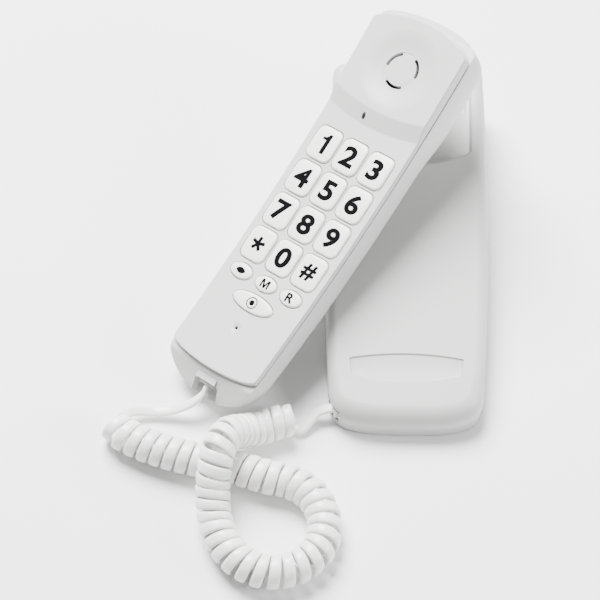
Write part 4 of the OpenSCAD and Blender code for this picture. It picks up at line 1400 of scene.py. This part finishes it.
# ---- finishes -------------------------------------------------------------------------------
def moulded_group():
    """Shader group: moulded plastic's faint mottling, fine grain and light dust."""
    group = bpy.data.node_groups.new("moulded_surface", "ShaderNodeTree")
    face = group.interface
    for name, kind, value in (("Base Colour", "NodeSocketColor", (0.7, 0.7, 0.68, 1)),
                              ("Mottle", "NodeSocketFloat", 0.02), ("Grain Scale", "NodeSocketFloat", 2600.0),
                              ("Roughness", "NodeSocketFloat", 0.38),
                              ("Roughness Spread", "NodeSocketFloat", 0.08),
                              ("Dust", "NodeSocketFloat", 0.04)):
        face.new_socket(name, in_out="INPUT", socket_type=kind).default_value = value
    face.new_socket("Colour", in_out="OUTPUT", socket_type="NodeSocketColor")
    face.new_socket("Roughness", in_out="OUTPUT", socket_type="NodeSocketFloat")
    face.new_socket("Grain", in_out="OUTPUT", socket_type="NodeSocketFloat")
    link, node = group.links.new, group.nodes.new
    given, out, at = node("NodeGroupInput"), node("NodeGroupOutput"), node("ShaderNodeTexCoord")

    def noise(scale, detail):
        n = node("ShaderNodeTexNoise")
        n.inputs["Scale"].default_value = scale
        n.inputs["Detail"].default_value = detail
        link(at.outputs["Object"], n.inputs["Vector"])
        return n

    def maths(kind, a, b):
        n = node("ShaderNodeMath")
        n.operation = kind
        for i, v in enumerate((a, b)):
            if isinstance(v, bpy.types.NodeSocket):
                link(v, n.inputs[i])
            else:
                n.inputs[i].default_value = v
        return n.outputs[0]

    cloud, speck, grain = noise(38.0, 3.0), noise(900.0, 2.0), noise(2600.0, 2.0)
    link(given.outputs["Grain Scale"], grain.inputs["Scale"])
    shade_by = maths("MULTIPLY", maths("SUBTRACT", cloud.outputs[0], 0.5), given.outputs["Mottle"])
    level = maths("ADD", shade_by, 1.0)
    tint = node("ShaderNodeVectorMath")
    tint.operation = "SCALE"
    link(given.outputs["Base Colour"], tint.inputs[0])
    link(level, tint.inputs["Scale"])
    dust_mask = maths("MULTIPLY", maths("GREATER_THAN", speck.outputs[0], 0.66), given.outputs["Dust"])
    blend = node("ShaderNodeMix")
    blend.data_type = "RGBA"
    link(dust_mask, blend.inputs[0])
    link(tint.outputs[0], blend.inputs[6])
    blend.inputs[7].default_value = (0.55, 0.53, 0.49, 1)
    link(blend.outputs[2], out.inputs["Colour"])
    rough = maths("ADD", given.outputs["Roughness"],
                  maths("MULTIPLY", maths("SUBTRACT", speck.outputs[0], 0.5),
                        given.outputs["Roughness Spread"]))
    link(rough, out.inputs["Roughness"])
    link(grain.outputs[0], out.inputs["Grain"])
    return group


def plastic(name, colour, roughness=0.38, grain=2600.0, bump=0.04, mottle=0.03, dust=0.03, spread=0.08,
            **fixed):
    """A material on the shared moulded surface; fixed values go straight to the shader."""
    material = bpy.data.materials.new(name)
    material.use_nodes = True
    tree = material.node_tree
    shader = tree.nodes["Principled BSDF"]
    surface = tree.nodes.new("ShaderNodeGroup")
    surface.node_tree = bpy.data.node_groups.get("moulded_surface") or moulded_group()
    surface.inputs["Base Colour"].default_value = (*colour, 1)
    surface.inputs["Mottle"].default_value = mottle
    surface.inputs["Grain Scale"].default_value = grain
    surface.inputs["Roughness"].default_value = roughness
    surface.inputs["Roughness Spread"].default_value = spread
    surface.inputs["Dust"].default_value = dust
    relief = tree.nodes.new("ShaderNodeBump")
    relief.inputs["Strength"].default_value = bump
    relief.inputs["Distance"].default_value = 0.1 * MM
    tree.links.new(surface.outputs["Colour"], shader.inputs["Base Color"])
    tree.links.new(surface.outputs["Roughness"], shader.inputs["Roughness"])
    tree.links.new(surface.outputs["Grain"], relief.inputs["Height"])
    tree.links.new(relief.outputs["Normal"], shader.inputs["Normal"])
    for socket, value in fixed.items():
        shader.inputs[socket.replace("_", " ")].default_value = value
    return material


def make_finish(name):
    """Materials by their maker's name."""
    paint = bpy.context.scene.phone_colours
    shell, cord, ink = tuple(paint.shell), tuple(paint.cord), tuple(paint.ink)
    darker = tuple(c * 0.95 for c in shell)
    recipes = {
        "handset_plastic": lambda: plastic(name, shell, 0.42),
        "base_plastic": lambda: plastic(name, darker, 0.45),
        "key_plastic": lambda: plastic(name, tuple(c * 0.99 for c in shell), 0.36, bump=0.02),
        "tray_plastic": lambda: plastic(name, tuple(c * 0.9 for c in shell), 0.5, 1800.0, 0.08),
        "key_ink": lambda: plastic(name, ink, 0.8, 3200.0, 0.05, 0.2, 0.0, Specular_IOR_Level=0.02),
        # The cord's colour is darker than the shells: the vinyl's tone with painted shade for the gaps
        # between the coil's turns.
        "cord_vinyl": lambda: plastic(name, cord, 0.34, 3000.0, 0.05, 0.06, 0.03),
        "plug_plastic": lambda: plastic(name, (0.74, 0.75, 0.75), 0.16, 1500.0, 0.02, 0.04, 0.02,
                                        Transmission_Weight=0.25, IOR=1.49),
        "gilt_contact": lambda: plastic(name, (0.83, 0.62, 0.26), 0.25, 4000.0, 0.05, 0.1, 0.02,
                                        Metallic=1.0),
        "dark_plastic": lambda: plastic(name, (0.035, 0.036, 0.04), 0.45, 2200.0, 0.08, 0.2, 0.06),
        "rubber": lambda: plastic(name, (0.045, 0.045, 0.047), 0.72, 1500.0, 0.25, 0.25, 0.1),
        "silicone": lambda: plastic(name, (0.12, 0.12, 0.125), 0.62, 1700.0, 0.15, 0.15, 0.05),
        "board_green": lambda: plastic(name, (0.03, 0.13, 0.055), 0.35, 700.0, 0.06, 0.3, 0.08),
        "zinc_steel": lambda: plastic(name, (0.62, 0.63, 0.65), 0.3, 3000.0, 0.08, 0.12, 0.05, Metallic=1.0),
        "cast_weight": lambda: plastic(name, (0.2, 0.2, 0.205), 0.6, 500.0, 0.5, 0.3, 0.05, Metallic=0.85),
        "brass": lambda: plastic(name, (0.72, 0.5, 0.2), 0.32, 2500.0, 0.06, 0.15, 0.04, Metallic=1.0),
        "lamp_red": lambda: plastic(name, (0.035, 0.028, 0.03), 0.2, 1500.0, 0.02, 0.1, 0.02),
        "floor_pale": lambda: plastic(name, (0.93, 0.93, 0.93), 0.85, 120.0, 0.01, 0.01, 0.0),
    }
    return recipes[name]()


def finish(name):
    """A material, made the first time that it is asked for."""
    return bpy.data.materials.get(name) or make_finish(name)


NODE_FINISH = {
    "base_plate": "tray_plastic", "base_board": "board_green", "key_board": "board_green",
    "base_cord_jack": "dark_plastic", "line_jack": "dark_plastic", "ringer_switch": "dark_plastic",
    "hook_switch": "dark_plastic", "ear_capsule": "dark_plastic", "ringer": "brass",
               "ballast_weight": "cast_weight",
    "hook_spring": "zinc_steel", "microphone": "zinc_steel", "microphone_boot": "rubber",
               "ear_seal": "rubber",
    "keypad_mat": "silicone", "led": "lamp_red", "handset_jack": "tray_plastic",
}


def build_carried_over():
    """Finishes on the frame's own nodes that stay."""
    for node, name in NODE_FINISH.items():
        piece = frame["nodes"][node]
        if not piece.material_slots:
            raise RuntimeError(f"{node} has no material slot")
        for slot in piece.material_slots:
            slot.material = finish(name)


# ---- stage ----------------------------------------------------------------------------------
def build_stage():
    """Pale floor, soft lights and the camera."""
    edge, steps = 1.6, 24
    points = [(lerp(-edge, edge, i / steps), lerp(-edge, edge, j / steps), 0.0)
              for j in range(steps + 1) for i in range(steps + 1)]
    faces = [(j * (steps + 1) + i, j * (steps + 1) + i + 1, (j + 1) * (steps + 1) + i + 1,
              (j + 1) * (steps + 1) + i)
             for j in range(steps) for i in range(steps)]
    floor = new_piece("floor", points, faces, finish("floor_pale"))
    world = bpy.data.worlds.new("studio")
    world.use_nodes = True
    world.node_tree.nodes["Background"].inputs["Color"].default_value = (1, 1, 1, 1)
    world.node_tree.nodes["Background"].inputs["Strength"].default_value = 0.26
    bpy.context.scene.world = world
    aim = Vector((-0.05, -0.02, 0.02))
    for name, place, size, power in (("key_light", (-0.45, 0.85, 1.4), 1.1, 160.0),
                                     ("fill_light", (1.1, -0.35, 0.6), 0.5, 18.0),
                                     ("rim_light", (0.9, 0.9, 0.6), 0.5, 3.0)):
        data = bpy.data.lights.new(name, "AREA")
        data.shape = "DISK"
        data.size = size
        data.energy = power
        light = bpy.data.objects.new(name, data)
        bpy.context.collection.objects.link(light)
        light.location = place
        light.rotation_euler = (Vector(place) - aim).to_track_quat("Z", "Y").to_euler()
    lens = bpy.data.cameras.new("camera")
    lens.sensor_width = 36
    lens.lens = 152.6
    lens.clip_end = 20
    camera = bpy.data.objects.new("camera", lens)
    bpy.context.collection.objects.link(camera)
    distance, raised = 1.2, math.radians(60)
    target = Vector((-0.05, -0.0195, 0))
    turn = Matrix.Rotation(math.radians(1.2), 3, "Z")
    camera.location = turn @ (target + Vector((0, -math.cos(raised), math.sin(raised))) * distance)
    camera.rotation_euler = (math.radians(90) - raised, 0, math.radians(1.2))
    bpy.context.scene.camera = camera


# ---- operators and panel --------------------------------------------------------------------
class PHONE_OT_stage(bpy.types.Operator):
    """Make the floor, the lights and the camera"""
    bl_idname = "phone.stage"
    bl_label = "Stage"

    def execute(self, context):
        build_stage()
        return {"FINISHED"}


class PHONE_OT_cord(bpy.types.Operator):
    """Make the curly cord and its two plugs"""
    bl_idname = "phone.cord"
    bl_label = "Curly cord and plugs"

    def execute(self, context):
        cord, line = build_cord()
        plugs = build_plugs()
        tuple(line.line[0])
        line.length()
        [tuple(p) for p in line.line]
        return {"FINISHED"}


class PHONE_OT_face(bpy.types.Operator):
    """Make the handset's face with its ear dish, openings and bowed ramp"""
    bl_idname = "phone.face"
    bl_label = "Handset face"

    def execute(self, context):
        build_face()
        return {"FINISHED"}


class PHONE_OT_back(bpy.types.Operator):
    """Make the handset's back shell with its chin and cord recess"""
    bl_idname = "phone.back"
    bl_label = "Handset back"

    def execute(self, context):
        build_back()
        return {"FINISHED"}


class PHONE_OT_keys(bpy.types.Operator):
    """Make the sixteen keys and their printed signs"""
    bl_idname = "phone.keys"
    bl_label = "Keys"

    def execute(self, context):
        build_keys()
        return {"FINISHED"}


class PHONE_OT_cover(bpy.types.Operator):
    """Make the base's cover with its ear well"""
    bl_idname = "phone.cover"
    bl_label = "Base cover"

    def execute(self, context):
        build_cover()
        return {"FINISHED"}


class PHONE_OT_small_parts(bpy.types.Operator):
    """Make the hook plunger, ringer knob, feet, screws and lamp window"""
    bl_idname = "phone.small_parts"
    bl_label = "Small parts"

    def execute(self, context):
        build_plunger()
        build_knob()
        build_feet()
        build_screws()
        build_lamp()
        return {"FINISHED"}


class PHONE_OT_carried_over(bpy.types.Operator):
    """Give the frame's own remaining parts their finishes"""
    bl_idname = "phone.carried_over"
    bl_label = "Inner parts' finishes"

    def execute(self, context):
        build_carried_over()
        return {"FINISHED"}


OPERATORS = (PHONE_OT_stage, PHONE_OT_cord, PHONE_OT_face, PHONE_OT_back, PHONE_OT_keys, PHONE_OT_cover,
             PHONE_OT_small_parts, PHONE_OT_carried_over)
GROUPS = {"phone_base": PHONE_PG_base, "phone_handset": PHONE_PG_handset, "phone_keys": PHONE_PG_keys,
          "phone_cord": PHONE_PG_cord, "phone_colours": PHONE_PG_colours}


class PHONE_PT_panel(bpy.types.Panel):
    """Sizes, colours and steps of the phone"""
    bl_idname = "PHONE_PT_panel"
    bl_label = "Slimline wall phone"
    bl_space_type = "VIEW_3D"
    bl_region_type = "UI"
    bl_category = "Phone"

    def draw(self, context):
        for name in GROUPS:
            box = self.layout.box()
            settings = getattr(context.scene, name)
            for key in settings.bl_rna.properties.keys():
                if key not in ("rna_type", "name"):
                    box.prop(settings, key)
        for operator in OPERATORS:
            self.layout.operator(operator.bl_idname)


def register():
    for group in GROUPS.values():
        bpy.utils.register_class(group)
    for operator in OPERATORS:
        bpy.utils.register_class(operator)
    bpy.utils.register_class(PHONE_PT_panel)
    for name, group in GROUPS.items():
        setattr(bpy.types.Scene, name, PointerProperty(type=group))


def unregister():
    for name in GROUPS:
        delattr(bpy.types.Scene, name)
    bpy.utils.unregister_class(PHONE_PT_panel)
    for cls in (*OPERATORS, *GROUPS.values()):
        bpy.utils.unregister_class(cls)


def main():
    """Builds the phone."""
    register()
    bpy.ops.phone.stage()
    bpy.ops.phone.cord()
    bpy.ops.phone.face()
    bpy.ops.phone.back()
    bpy.ops.phone.keys()
    bpy.ops.phone.cover()
    bpy.ops.phone.small_parts()
    bpy.ops.phone.carried_over()


if __name__ == "__main__":
    main()
